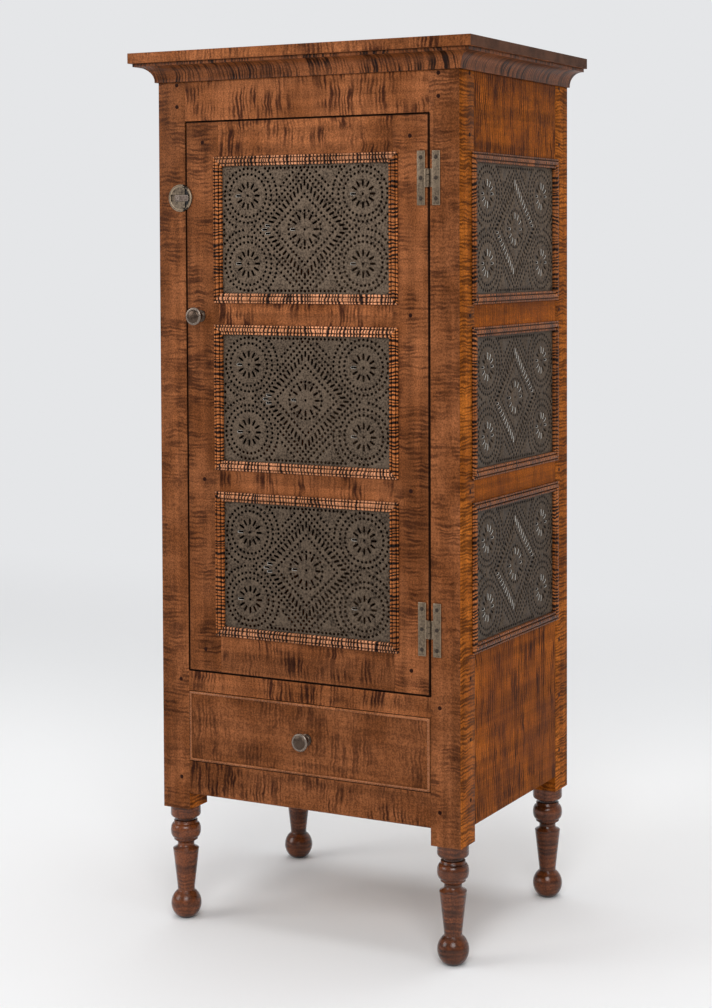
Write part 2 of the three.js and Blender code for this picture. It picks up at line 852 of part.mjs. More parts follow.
function latchBolt() {
  const square = boltBar(boltReach - boltLength, boltReach, latchBase + fit, boltTop, 0);
  const tipMiddle = boltReach - boltTipRadius;
  const tip = turnedOutward(
    [
      [0, 0],
      [boltTipRadius, 0],
      [boltTipRadius, boltTop + overrun],
      [0, boltTop + overrun],
    ],
    boltTipSides,
  ).translate([tipMiddle, 0, 0]);
  const shaft = block(
    [tipMiddle - boltLength, tipMiddle],
    [-boltTop - overrun, 0],
    grow([-boltWidth / 2, boltWidth / 2], boltFlare + overrun),
  );
  const bar = square.intersect(joined([tip, shaft]));
  const button = turnedOutward(
    [
      [0, boltTop - seam],
      [boltKnobRadius * boltKnobWaistShare, boltTop - seam],
      [boltKnobRadius, boltTop + boltKnobHeight / 2],
      [boltKnobRadius * boltKnobCrownShare, boltTop + boltKnobHeight],
      [0, boltTop + boltKnobHeight],
    ],
    boltKnobSides,
  ).translate([-boltKnobSet, 0, 0]);
  return meshOf("latch_bolt", bar.add(button), pewter);
}

// Drawer, in its own frame: x from the middle, y from the face back, z from the bottom of its opening
const drawerHalf = openHalf - drawerGap;
const drawerFrontZ = [drawerGap, drawerOpeningHeight - drawerGap];
const drawerSideZ = [fit, drawerOpeningHeight - drawerGap - seam];
const drawerBackY = [drawerLength - drawerSideThickness, drawerLength];
const bottomZ = [drawerBottomRise, drawerBottomRise + drawerBottomThickness];

// Tails on the front end of a drawer side, grown by extra where they cut their sockets
function tails(side, extra) {
  const [low, high] = drawerFrontZ;
  const pitch = (high - low) / tailCount;
  const x = span(side * (drawerHalf + extra), side * (drawerHalf - drawerSideThickness - extra));
  return Array.from({ length: tailCount }, (_, i) => {
    const middle = low + (i + 0.5) * pitch;
    const root = (pitch - tailGap) / 2 - tailSlope + extra;
    const tip = (pitch - tailGap) / 2 + extra;
    const rootY = drawerFrontThickness + overrun;
    const tipY = drawerFrontThickness - tailLength - extra;
    const outline = new THREE.Shape([
      new THREE.Vector2(rootY, middle - root),
      new THREE.Vector2(rootY, middle + root),
      new THREE.Vector2(tipY, middle + tip),
      new THREE.Vector2(tipY, middle - tip),
    ]);
    const geometry = new THREE.ExtrudeGeometry(outline, { depth: x[1] - x[0], bevelEnabled: false });
    // The outline's x becomes y and its y becomes z, so its thickness runs along +x
    const turn = new THREE.Matrix4().makeBasis(
      new THREE.Vector3(0, 1, 0),
      new THREE.Vector3(0, 0, 1),
      new THREE.Vector3(1, 0, 0),
    );
    geometry.applyMatrix4(turn);
    geometry.translate(x[0], 0, 0);
    return solidOf(geometry);
  });
}

// The bead's corners, for a distance in from the drawer front's edge
const beadCorners = (inward) => {
  const across = drawerHalf - inward;
  const [low, high] = grow(drawerFrontZ, -inward);
  return [
    [-across, low],
    [-across, high],
    [across, high],
    [across, low],
  ];
};

function cockBead() {
  const round = beadWidth / 2;
  const nose = arcPoints([round, beadProud - round], [round, round], [Math.PI, 0], beadSteps);
  const section = [[0, -beadDepth], ...nose, [beadWidth, -beadDepth]];
  return meshOf("drawer_cock_bead", mitred(section, beadCorners, true, false), frontMaple);
}

function drawerFront() {
  const body = block([-drawerHalf, drawerHalf], [0, drawerFrontThickness], drawerFrontZ);
  const room = beadWidth + seam;
  const rebate = block(
    grow([-drawerHalf, drawerHalf], overrun),
    [-overrun, beadDepth + seam],
    grow(drawerFrontZ, overrun),
  ).subtract(
    block(
      grow([-drawerHalf, drawerHalf], -room),
      [-2 * overrun, beadDepth + overrun],
      grow(drawerFrontZ, -room),
    ),
  );
  const groove = block(
    grow([-drawerHalf, drawerHalf], -drawerSideThickness / 2),
    [drawerFrontThickness - grooveDepth, drawerFrontThickness + overrun],
    grow(bottomZ, fit),
  );
  const sockets = [-1, 1].flatMap((side) => tails(side, fit));
  const bore = shankBore([0, middleOf(drawerFrontZ)], drawerFrontThickness);
  return meshOf("drawer_front", cutBy(body, [rebate, groove, ...sockets, bore]), frontMaple);
}

function drawerSide(side) {
  const x = span(side * drawerHalf, side * (drawerHalf - drawerSideThickness));
  const body = block(x, [drawerFrontThickness + seam, drawerLength], drawerSideZ);
  const inner = side * (drawerHalf - drawerSideThickness);
  const groovedX = span(inner - side * overrun, inner + side * grooveDepth);
  const groove = block(groovedX, [0, drawerLength + overrun], grow(bottomZ, fit));
  const housing = block(groovedX, grow(drawerBackY, fit), [bottomZ[1], drawerOpeningHeight]);
  return meshOf(
    `drawer_${sideName(side)}_side`,
    cutBy(joined([body, ...tails(side, 0)]), [groove, housing]),
    innerMaple,
  );
}

function drawerBack() {
  const half = drawerHalf - drawerSideThickness + grooveDepth - fit;
  const z = [bottomZ[1] + fit, drawerSideZ[1] - tailSlope];
  return meshOf("drawer_back", block([-half, half], grow(drawerBackY, -seam), z), innerMaple);
}

function drawerBottom() {
  const half = drawerHalf - drawerSideThickness + grooveDepth - fit;
  const y = [drawerFrontThickness - grooveDepth + fit, drawerLength];
  return meshOf("drawer_bottom", block([-half, half], y, bottomZ), innerMaple);
}

// Assembly
const pieSafe = new THREE.Group();
pieSafe.add(
  post("post_front_left", -1, -1),
  post("post_front_right", 1, -1),
  post("post_back_left", -1, 1),
  post("post_back_right", 1, 1),
  ...Object.keys(frontRails).map(frontRail),
  ...[-1, 1].flatMap((side) => sideRails.map((rail) => sideRail(side, rail))),
  backPanel(),
  lowerShelf(),
  upperShelf(),
  cupboardFloor(),
  topBoard(),
  crown(),
);

for (const side of [-1, 1]) {
  for (let row = 0; row < tinRows; row += 1) {
    const panel = tinPanel(sideName(side), row);
    const between = middleOf([frontPostBack, backPostFront]);
    panel.position.set(side * caseHalf, between, middleOf(tinOpening(row)));
    panel.rotation.z = (side * Math.PI) / 2;
    pieSafe.add(panel);
  }
}

const door = new THREE.Group();
door.position.set(-doorWidth / 2, frontY, doorZ);
door.add(
  doorStileMesh("door_latch_stile", [0, doorStile], 1, [shankBore(doorKnobAt, doorThickness)]),
  doorStileMesh("door_hinge_stile", [doorWidth - doorStile, doorWidth], -1, []),
  ...doorRails.map(doorRail),
);
for (let row = 0; row < tinRows; row += 1) {
  const panel = tinPanel("door", row);
  panel.position.set(doorWidth / 2, 0, firstTinRise + row * tinPitch + tinOpeningHeight / 2);
  door.add(panel);
}
const doorKnob = knob("door_knob", doorThickness);
doorKnob.position.set(doorKnobAt[0], 0, doorKnobAt[1]);
door.add(doorKnob);
pieSafe.add(door);

const hingeHeights = { upper: doorZ + doorHeight - hingeFromTop, lower: doorZ + hingeFromBottom };
for (const [where, height] of Object.entries(hingeHeights)) {
  const hinge = new THREE.Group();
  hinge.position.set(openHalf - doorGap / 2, frontY - pinStandOff, height);
  hinge.add(
    hingeLeaf(`hinge_${where}_post_leaf`, 1, true),
    hingeLeaf(`hinge_${where}_door_leaf`, -1, false),
  );
  pieSafe.add(hinge);
}

const latch = new THREE.Group();
latch.position.set(doorGap / 2 - openHalf - latchFromGap, frontY, doorZ + doorHeight - latchDrop);
latch.add(
  latchHalf("latch_plate", [-latchRadius - overrun, latchFromGap - doorGap / 2]),
  latchHalf("latch_keeper", [latchFromGap + doorGap / 2, latchRadius + overrun]),
  latchBolt(),
);
pieSafe.add(latch);

const drawer = new THREE.Group();
drawer.position.set(0, frontY, drawerZ);
drawer.add(drawerFront(), cockBead(), drawerSide(-1), drawerSide(1), drawerBack(), drawerBottom());
const drawerKnob = knob("drawer_knob", drawerFrontThickness);
drawerKnob.position.set(0, 0, middleOf(drawerFrontZ));
drawer.add(drawerKnob);
pieSafe.add(drawer);

export default pieSafe;
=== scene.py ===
"""A curly maple pie safe with punched tins, and the stage and camera of its picture"""

import itertools
import json
import math

import bmesh
import bpy
import numpy as np
from bpy.props import FloatProperty, FloatVectorProperty, IntProperty, PointerProperty
from mathutils import Matrix, Vector
from mathutils.geometry import delaunay_2d_cdt

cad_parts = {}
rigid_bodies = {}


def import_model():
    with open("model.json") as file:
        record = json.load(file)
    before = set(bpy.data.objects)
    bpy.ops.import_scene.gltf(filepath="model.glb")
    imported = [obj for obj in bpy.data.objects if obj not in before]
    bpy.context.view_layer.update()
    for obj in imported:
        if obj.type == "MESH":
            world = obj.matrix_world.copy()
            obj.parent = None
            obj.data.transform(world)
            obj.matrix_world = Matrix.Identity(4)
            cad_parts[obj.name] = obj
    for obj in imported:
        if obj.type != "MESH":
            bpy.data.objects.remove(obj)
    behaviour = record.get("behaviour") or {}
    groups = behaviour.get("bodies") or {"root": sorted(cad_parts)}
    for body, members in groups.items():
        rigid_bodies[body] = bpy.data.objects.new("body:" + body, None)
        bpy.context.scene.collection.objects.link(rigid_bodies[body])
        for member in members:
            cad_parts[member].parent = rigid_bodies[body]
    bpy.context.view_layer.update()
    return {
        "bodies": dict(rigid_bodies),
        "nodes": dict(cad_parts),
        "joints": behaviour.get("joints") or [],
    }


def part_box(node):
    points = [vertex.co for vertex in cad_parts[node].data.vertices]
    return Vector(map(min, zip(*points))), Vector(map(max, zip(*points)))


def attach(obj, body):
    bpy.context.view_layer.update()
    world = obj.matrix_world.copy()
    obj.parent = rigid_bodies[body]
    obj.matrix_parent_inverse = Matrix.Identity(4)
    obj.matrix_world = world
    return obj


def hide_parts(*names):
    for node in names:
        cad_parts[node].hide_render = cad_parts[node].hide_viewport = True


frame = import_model()

bl_info = {
    "name": "Pie Safe",
    "version": (1, 0, 0),
    "blender": (4, 5, 0),
    "location": "View3D > Sidebar > Pie Safe",
    "description": "Builds a curly maple pie safe with punched tins round its packed frame",
    "category": "Object",
}

MM = 0.001
CLOSE = 0.1 * MM


# --- Settings ---


def length(name, description, millimetres):
    """A length setting, its default given in millimetres"""
    return FloatProperty(
        name=name,
        description=description,
        default=millimetres * MM,
        min=0.0,
        precision=4,
        unit="LENGTH",
    )


def angle(name, description, degrees):
    """An angle setting, its default given in degrees"""
    return FloatProperty(
        name=name,
        description=description,
        default=math.radians(degrees),
        subtype="ANGLE",
        unit="ROTATION",
    )


def colour(name, description, red, green, blue):
    """A colour setting, its default given as screen values from 0 to 255"""
    return FloatVectorProperty(
        name=name,
        description=description,
        subtype="COLOR",
        size=4,
        min=0.0,
        max=1.0,
        default=(*(linear(value) for value in (red, green, blue)), 1.0),
    )


def linear(value):
    """Light given off by a screen value from 0 to 255"""
    share = value / 255
    return share / 12.92 if share <= 0.04045 else ((share + 0.055) / 1.055) ** 2.4


class TimberSizes(bpy.types.PropertyGroup):
    """Sizes of the joinery's small shapes"""

    arris: length("Arris", "Width of the eased edge along each timber", 0.45)
    leg_height: length("Leg height", "Height at which the turned leg meets its square post", 198)
    # The gap's edges are painted near black: a painted shade in the gap round the door
    gap_arris: length("Gap arris", "Width of the dark edge along the gap round the door", 1.7)
    bead: length("Bead", "Size of the rounded lower edge of the front's bottom rail", 3.8)
    peg_radius: length("Peg radius", "Radius of the pegs through the joints", 3.5)
    peg_proud: length("Peg height", "How far a peg's crowned end stands out of the wood", 0.35)
    turning_sides: IntProperty(
        name="Turning sides", description="Faces round a turned leg or knob", default=48, min=12
    )


class TinSizes(bpy.types.PropertyGroup):
    """Sizes of the punched pattern on each tin"""

    dot_radius: length("Dot radius", "Radius of a round punch", 2.1)
    slit_width: length("Slit width", "Width of a chisel slit", 3.1)
    dish: length("Dish", "Width of the dished rim round each punch", 0.7)
    dish_depth: length("Dish depth", "How far a round punch pushes the sheet inwards", 0.6)
    slit_depth: length("Slit depth", "How far a chisel pushes the sheet inwards", 1.5)
    dot_spacing: length("Dot spacing", "Distance between dots along a line", 7.5)
    star_across: length("Star across", "From the tin's centre to a corner star, level", 109.7)
    star_up: length("Star up", "From the tin's centre to a corner star, upright", 56.9)


class Finishes(bpy.types.PropertyGroup):
    """Colours of the wood, tin and metal"""

    front_dark: colour("Front, dark curl", "Dark stripes of the front's maple", 56, 28, 15)
    front_light: colour("Front, light curl", "Light stripes of the front's maple", 130, 77, 44)
    side_dark: colour("Side, dark curl", "Dark stripes of the sides' maple", 52, 22, 6)
    side_light: colour("Side, light curl", "Light stripes of the sides' maple", 141, 74, 19)
    post_dark: colour("Post's side, dark curl", "Dark stripes of the posts' sides", 34, 12, 2)
    post_light: colour("Post's side, light curl", "Light stripes of the posts' sides", 180, 100, 34)
    leg_dark: colour("Leg, dark curl", "Dark stripes of the turned legs", 22, 8, 3)
    leg_light: colour("Leg, light curl", "Light stripes of the turned legs", 106, 55, 26)
    # The bead's light stripes are lighter than the front's: a painted highlight along the rounded
    # bead
    bead_light: colour("Bead, light curl", "Light stripes of the drawer's bead", 148, 92, 56)
    crown_light: colour("Crown, light curl", "Light stripes of the cove moulding", 124, 71, 38)
    frame_dark: colour("Frame, dark curl", "Dark bars across the tin frames", 32, 16, 10)
    # The frames' light figure comes in a lit and a shaded copy: this lit one, painted lighter as if
    # lit from above, is for the door's level runs
    frame_light: colour("Frame, light curl", "Light figure of the tin frames", 194, 131, 92)
    # The shaded copy's light figure, painted darker, for the door frames' uprights and every run of
    # the sides' frames
    upright_light: colour("Upright, light curl", "Light figure of their uprights", 170, 100, 52)
    peg: colour("Peg", "Stained end grain of the pegs", 38, 18, 10)
    end_grain: colour("End grain", "Stained ends of the top board", 84, 54, 38)
    inner_dark: colour("Inside, dark", "Darker grain of the unstained inside", 150, 112, 76)
    inner_light: colour("Inside, light", "Lighter grain of the unstained inside", 192, 156, 116)
    tin_dark: colour("Tin, dark", "Dark stain on the tins", 30, 22, 16)
    tin_light: colour("Tin, light", "Lighter patina of the tins", 110, 94, 79)
    # Colour of the painted glints on the walls of some slits
    tin_rubbed: colour("Tin, rubbed", "Bare metal on the walls of the slits", 236, 232, 224)
    pewter_dark: colour("Pewter, dark", "Hollows of the hinges and latch", 74, 61, 48)
    pewter_light: colour("Pewter, light", "Rubbed edges of the hinges and latch", 162, 142, 118)
    bolt: colour("Bolt, dark", "Brown of the latch's bolt", 70, 50, 40)
    screw: colour("Screw", "Dark heads of the hinge screws", 44, 34, 27)
    bronze_dark: colour("Knob, dark", "Dark patina of the knobs", 74, 60, 50)
    # On the knobs this lightens the rim: wear, and a painted highlight
    bronze_light: colour("Knob, light", "Rubbed rim of the knobs", 160, 146, 134)


class StageSettings(bpy.types.PropertyGroup):
    """Camera, light and floor"""

    camera_place: FloatVectorProperty(
        name="Camera place",
        description="Where the camera stands",
        subtype="TRANSLATION",
        unit="LENGTH",
        size=3,
        default=(1.6707, -3.0699, 1.1600),
    )
    yaw: angle("Yaw", "Camera's turn to the left of the cupboard's depth", 27.478)
    pitch: angle("Pitch", "Camera's tilt downwards", 2.268)
    roll: angle("Roll", "Camera's lean about its own line of sight", -0.178)
    lens: FloatProperty(
        name="Lens", description="Focal length in millimetres", unit="CAMERA", default=71.629
    )
    shift: FloatVectorProperty(
        name="Shift",
        description="Lens shift that keeps the uprights straight",
        subtype="XYZ",
        size=2,
        default=(-0.0437, -0.1726),
    )
    floor_colour: colour("Floor", "Plain pale floor and backdrop", 242, 242, 242)
    wall_colour: colour("Far wall", "Even tint that the backdrop fades into", 229, 230, 232)
    sky_colour: colour("Surroundings", "Even light from all round", 250, 252, 255)
    sky_strength: FloatProperty(
        name="Surrounding light",
        description="Strength of the even light",
        subtype="FACTOR",
        default=0.42,
        min=0.0,
    )


def timber_sizes():
    return bpy.context.scene.pie_safe_timber


def tin_sizes():
    return bpy.context.scene.pie_safe_tins


def finishes():
    return bpy.context.scene.pie_safe_finishes


# --- Materials ---

# Scale at which a wave texture's bands lie one step apart
BAND_SCALE = math.pi / 10


class Finish:
    """A node material being built: inputs take a value, or a socket to link"""

    def __init__(self, name):
        self.material = bpy.data.materials.new(name)
        self.material.use_nodes = True
        self.tree = self.material.node_tree
        self.surface = self.tree.nodes["Principled BSDF"]

    def feed(self, socket, value):
        if isinstance(value, bpy.types.NodeSocket):
            self.tree.links.new(value, socket)
        else:
            socket.default_value = value

    def add(self, kind, inputs, **settings):
        node = self.tree.nodes.new(kind)
        for name, value in settings.items():
            setattr(node, name, value)
        for name, value in inputs.items():
            self.feed(node.inputs[name], value)
        return node

    def surface_from(self, **inputs):
        for name, value in inputs.items():
            self.feed(self.surface.inputs[name.replace("_", " ")], value)
        return self.material

    def place(self):
        """Where the point lies along, across and through its board"""
        return self.add("ShaderNodeAttribute", {}, attribute_name="grain").outputs["Vector"]

    def mark(self, name):
        """What the mesh keeps under a name at the point"""
        return self.add("ShaderNodeAttribute", {}, attribute_name=name).outputs["Fac"]

    def tone(self):
        """How light the board is, from -1 to 1, as a share"""
        inputs = {"Value": self.mark("tone"), 1: -1.0, 2: 1.0}
        return self.add("ShaderNodeMapRange", inputs).outputs[0]

    def stretched(self, vector, steps):
        """The vector counted in steps of so many metres along each axis, the last for the rest"""
        steps = [1 / step for step in (*steps, *steps[-1:] * (3 - len(steps)))]
        node = self.add("ShaderNodeVectorMath", {0: vector, 1: steps}, operation="MULTIPLY")
        return node.outputs[0]

    def noise(self, vector, steps, detail=2.0, roughness=0.5, output="Fac"):
        """Clouds about one step wide"""
        inputs = {"Scale": 1.0, "Detail": detail, "Roughness": roughness}
        inputs["Vector"] = self.stretched(vector, steps)
        return self.add("ShaderNodeTexNoise", inputs).outputs[output]

    def waves(self, vector, steps, distortion):
        """Bands one step apart along X that waver"""
        inputs = {"Scale": BAND_SCALE, "Distortion": distortion, "Detail": 1.0}
        inputs["Vector"] = self.stretched(vector, steps)
        return self.add("ShaderNodeTexWave", inputs).outputs["Fac"]

    def maths(self, operation, first, second=0.0):
        return self.add("ShaderNodeMath", {0: first, 1: second}, operation=operation).outputs[0]

    def remap(self, value, low, high, to_low=0.0, to_high=1.0):
        inputs = {"Value": value, 1: low, 2: high, 3: to_low, 4: to_high}
        return self.add("ShaderNodeMapRange", inputs, interpolation_type="SMOOTHSTEP").outputs[0]

    def opened(self, noise, to_low=0.0, to_high=1.0):
        """Noise, which keeps near its middle, spread over the whole range"""
        return self.remap(noise, 0.3, 0.7, to_low, to_high)

    def mixed(self, share, first, second, mode="MIX"):
        node = self.add("ShaderNodeMix", {}, data_type="RGBA", blend_type=mode)
        for index, value in zip((0, 6, 7), (share, first, second)):
            self.feed(node.inputs[index], value)
        return node.outputs[2]

    def veiled(self, under, veil):
        """The colour darkened or lightened by a veil"""
        return self.mixed(1.0, under, veil, "MULTIPLY")

    def bumped(self, height, strength, distance, under=None):
        inputs = {"Height": height, "Strength": strength, "Distance": distance}
        if under is not None:
            inputs["Normal"] = under
        return self.add("ShaderNodeBump", inputs).outputs[0]

    def painted_hollow_shade(self, reach=0.012, least=0.05, closed=0.15, free=0.7):
        """Painted shade: full in the open and dark where little light reaches, in gaps, quirks and
        inner corners
        """
        hollows = self.add("ShaderNodeAmbientOcclusion", {"Distance": reach}, samples=6)
        return self.remap(hollows.outputs["AO"], closed, free, least, 1.0)


def grey(level):
    return (level, level, level, 1.0)


def curly_maple(
    name, dark, light, curl, bars, least=0.25, shine=(0.04, 0.4), quirk=0.05, broadness=0.85
):
    """Figured maple: curl across the grain that comes and goes, pores along it, arrises lightened
    by wear, and painted shade in its hollows and along the gap round the door. curl and bars give
    the fine and the broad stripes' width along the grain and length across it, least the figure
    left between its patches, shine the strength and the spread of its gloss, quirk the light left
    in the painted shade of its hollows, and broadness the broad stripes' share."""
    finish = Finish(name)
    grain = finish.place()
    wander = finish.noise(grain, (0.05, 0.03), output="Color")
    wandered = finish.add(
        "ShaderNodeVectorMath",
        {0: wander, 1: (0.014, 0.002, 0.002), 2: grain},
        operation="MULTIPLY_ADD",
    ).outputs[0]
    fine = finish.waves(wandered, curl, 7.0)
    broad = finish.noise(wandered, bars, 2.5, 0.6)
    patches = finish.noise(grain, (0.06, 0.045))
    pores = finish.noise(grain, (0.03, 0.0009), 3.0, 0.6)
    flecks = finish.noise(grain, (0.0024,), 2.0, 0.7)
    rings = finish.noise(grain, (0.6, 0.014))
    blotch = finish.noise(grain, (0.1, 0.07), 3.0)
    striped = finish.remap(finish.mixed(broadness, fine, broad), 0.37, 0.61, 1.0, 0.0)
    shown = finish.remap(patches, 0.4, 0.62, least, 1.0)
    shown = finish.maths("MULTIPLY", shown, finish.mark("figure"))
    tint = finish.mixed(finish.maths("MULTIPLY", striped, shown), light, dark)
    for veil in (
        (pores, grey(0.8), grey(1.2)),
        (finish.opened(flecks), grey(0.62), grey(1.38)),
        (finish.opened(rings), grey(0.8), grey(1.2)),
        (finish.opened(blotch), (0.74, 0.7, 0.62, 1), (1.26, 1.3, 1.38, 1)),
        (finish.tone(), grey(0.45), grey(1.15)),
    ):
        tint = finish.veiled(tint, finish.mixed(*veil))
    arris = finish.mark("arris")
    wear_and_gap_shade = finish.maths("MULTIPLY", finish.remap(arris, 0.0, 1.0), finish.remap(blotch, 0.4, 0.6))
    tint = finish.mixed(finish.maths("MULTIPLY", wear_and_gap_shade, 0.6), tint, light)
    # Edges along a gap are painted near black: a painted shade in the gap
    tint = finish.mixed(finish.remap(arris, 0.0, -1.0, 0.0, 0.85), tint, grey(0.002))
    strength, spread = shine
    # The colour takes a painted shade in its hollows
    return finish.surface_from(
        Base_Color=finish.veiled(tint, finish.painted_hollow_shade(least=quirk)),
        Roughness=finish.opened(finish.mixed(0.5, flecks, blotch), spread - 0.08, spread + 0.14),
        Specular_IOR_Level=strength,
        Normal=finish.bumped(pores, 0.25, 0.0004, finish.bumped(striped, 0.25, 0.0003)),
    )


def plain_maple(name, dark, light):
    """Unstained maple: straight, faint grain with a dusty, open surface"""
    finish = Finish(name)
    grain = finish.place()
    rings = finish.noise(grain, (0.5, 0.009), 3.0)
    pores = finish.noise(grain, (0.03, 0.0007), 3.0, 0.6)
    dust = finish.noise(grain, (0.08,), 4.0)
    tint = finish.mixed(finish.remap(rings, 0.35, 0.65), dark, light)
    tint = finish.veiled(tint, finish.mixed(pores, grey(0.8), grey(1.15)))
    return finish.surface_from(
        Base_Color=finish.veiled(tint, finish.mixed(dust, grey(0.82), grey(1.15))),
        Roughness=finish.opened(dust, 0.55, 0.8),
        Normal=finish.bumped(pores, 0.3, 0.0004),
    )


def aged_tin(name, dark, light, brightened):
    """Tinplate gone grey brown: cloudy stains and fine scratches; painted shade that darkens the
    lower rows and fills its hollows; punches painted dark as the shade inside them, and painted
    glints on the walls of some slits"""
    finish = Finish(name)
    place = finish.place()
    clouds = finish.noise(place, (0.02,), 4.0, 0.6)
    speckle = finish.noise(place, (0.0032,), 3.0, 0.65)
    scratches = finish.noise(place, (0.002, 0.002, 0.03))
    tint = finish.mixed(finish.remap(finish.mixed(0.75, clouds, speckle), 0.3, 0.62), dark, light)
    tint = finish.veiled(tint, finish.mixed(scratches, grey(0.85), grey(1.15)))
    # Painted shade by row: the lower tins darker, as if the light falls off towards the floor
    tint = finish.veiled(tint, finish.mixed(finish.tone(), grey(0.4), grey(1.0)))
    # Painted shade in its hollows: in the punches and under the frame's edge
    tint = finish.veiled(tint, finish.painted_hollow_shade(0.006, 0.2, 0.4, 0.9))
    # Painted glints on the upper part of some slits' walls, and painted shade down the punches,
    # near black at their inner edge and at the foot of a slit's wall
    wall = finish.mark("wall")
    glinting = finish.remap(wall, 0.05, 0.4)
    tint = finish.mixed(finish.maths("MULTIPLY", glinting, 0.8), tint, brightened)
    lip = finish.maths("POWER", finish.mark("lip"), 0.6)
    punch_shade = finish.maths("MAXIMUM", lip, finish.remap(wall, 0.45, 0.9))
    return finish.surface_from(
        Base_Color=finish.mixed(punch_shade, tint, (0.006, 0.004, 0.003, 1.0)),
        Metallic=0.2,
        Roughness=finish.opened(speckle, 0.42, 0.62),
        Specular_IOR_Level=0.06,
        Normal=finish.bumped(finish.mixed(0.5, clouds, speckle), 0.4, 0.0008),
    )


def cast_metal(name, dark, light, metallic, roughness, grain_size=0.004, pitted=0.3, mottled=0.5):
    """Cast, tumbled metal: painted shade in its hollows and along a seam, and its edges lightened
    by wear, which on a knob's rim is also a painted highlight
    """
    finish = Finish(name)
    place = finish.place()
    clouds = finish.noise(place, (grain_size,), 4.0, 0.6)
    pits = finish.noise(place, (grain_size / 6,), 2.0, 0.6)
    arris = finish.mark("arris")
    cover = finish.remap(finish.mixed(0.5, clouds, pits), 0.36, 0.64, 0.0, mottled)
    tint = finish.mixed(cover, dark, light)
    # Edges lightened by wear; the knobs' bright rim is also a painted highlight
    tint = finish.mixed(finish.remap(arris, 0.0, 1.0, 0.0, 0.75), tint, light)
    # A seam's edges are painted near black: a painted shade in the seam
    tint = finish.mixed(finish.remap(arris, 0.0, -1.0), tint, grey(0.003))
    # The colour takes a painted shade in its hollows
    return finish.surface_from(
        Base_Color=finish.veiled(tint, finish.painted_hollow_shade(0.003, 0.1, 0.2, 0.8)),
        Metallic=metallic,
        Roughness=finish.opened(pits, roughness - 0.08, roughness + 0.12),
        Normal=finish.bumped(pits, pitted, 0.0003),
    )


def stained_end_grain(name, stain):
    """Stained end grain: fine dark pores over a cloudy tint"""
    finish = Finish(name)
    place = finish.place()
    pores = finish.noise(place, (0.0006,), 2.0, 0.6)
    clouds = finish.opened(finish.noise(place, (0.03,), 3.0))
    tint = finish.veiled(stain, finish.mixed(pores, grey(0.6), grey(1.3)))
    return finish.surface_from(
        Base_Color=finish.veiled(tint, finish.mixed(clouds, grey(0.7), grey(1.3))),
        Roughness=0.5,
        Specular_IOR_Level=0.05,
        Normal=finish.bumped(pores, 0.4, 0.0003),
    )


def stage_paint(name, tint, far_tint):
    """Matt white paint, which what looks at it sees fade into an even far wall"""
    finish = Finish(name)
    place = finish.add("ShaderNodeTexCoord", {}).outputs["Object"]
    clouds = finish.noise(place, (0.8,), 3.0)
    finish.surface_from(
        Base_Color=finish.veiled(tint, finish.mixed(clouds, grey(0.99), grey(1.0))),
        Roughness=0.9,
        Specular_IOR_Level=0.1,
    )
    depth = finish.add("ShaderNodeSeparateXYZ", {0: place}).outputs["Y"]
    rays = finish.add("ShaderNodeLightPath", {}).outputs
    seen = finish.maths("MAXIMUM", rays["Is Camera Ray"], rays["Is Glossy Ray"])
    seen = finish.maths("MAXIMUM", seen, rays["Is Transmission Ray"])
    wall = finish.add("ShaderNodeEmission", {"Color": far_tint, "Strength": 1.0}).outputs[0]
    fade = finish.maths("MULTIPLY", finish.remap(depth, 0.6, 3.2), seen)
    both = finish.add("ShaderNodeMixShader", {0: fade, 1: finish.surface.outputs[0], 2: wall})
    finish.feed(finish.tree.nodes["Material Output"].inputs["Surface"], both.outputs[0])
    return finish.material


# The fine and the broad stripes of the front, and the whole figure and gloss of the tin frames
FRONT_STRIPES = ((0.0072, 0.04), (0.0105, 0.05))
FRAME_FIGURE = ((0.0062, 0.05), (0.011, 0.05), 1.0, (0.12, 0.34), 0.3, 0.68)
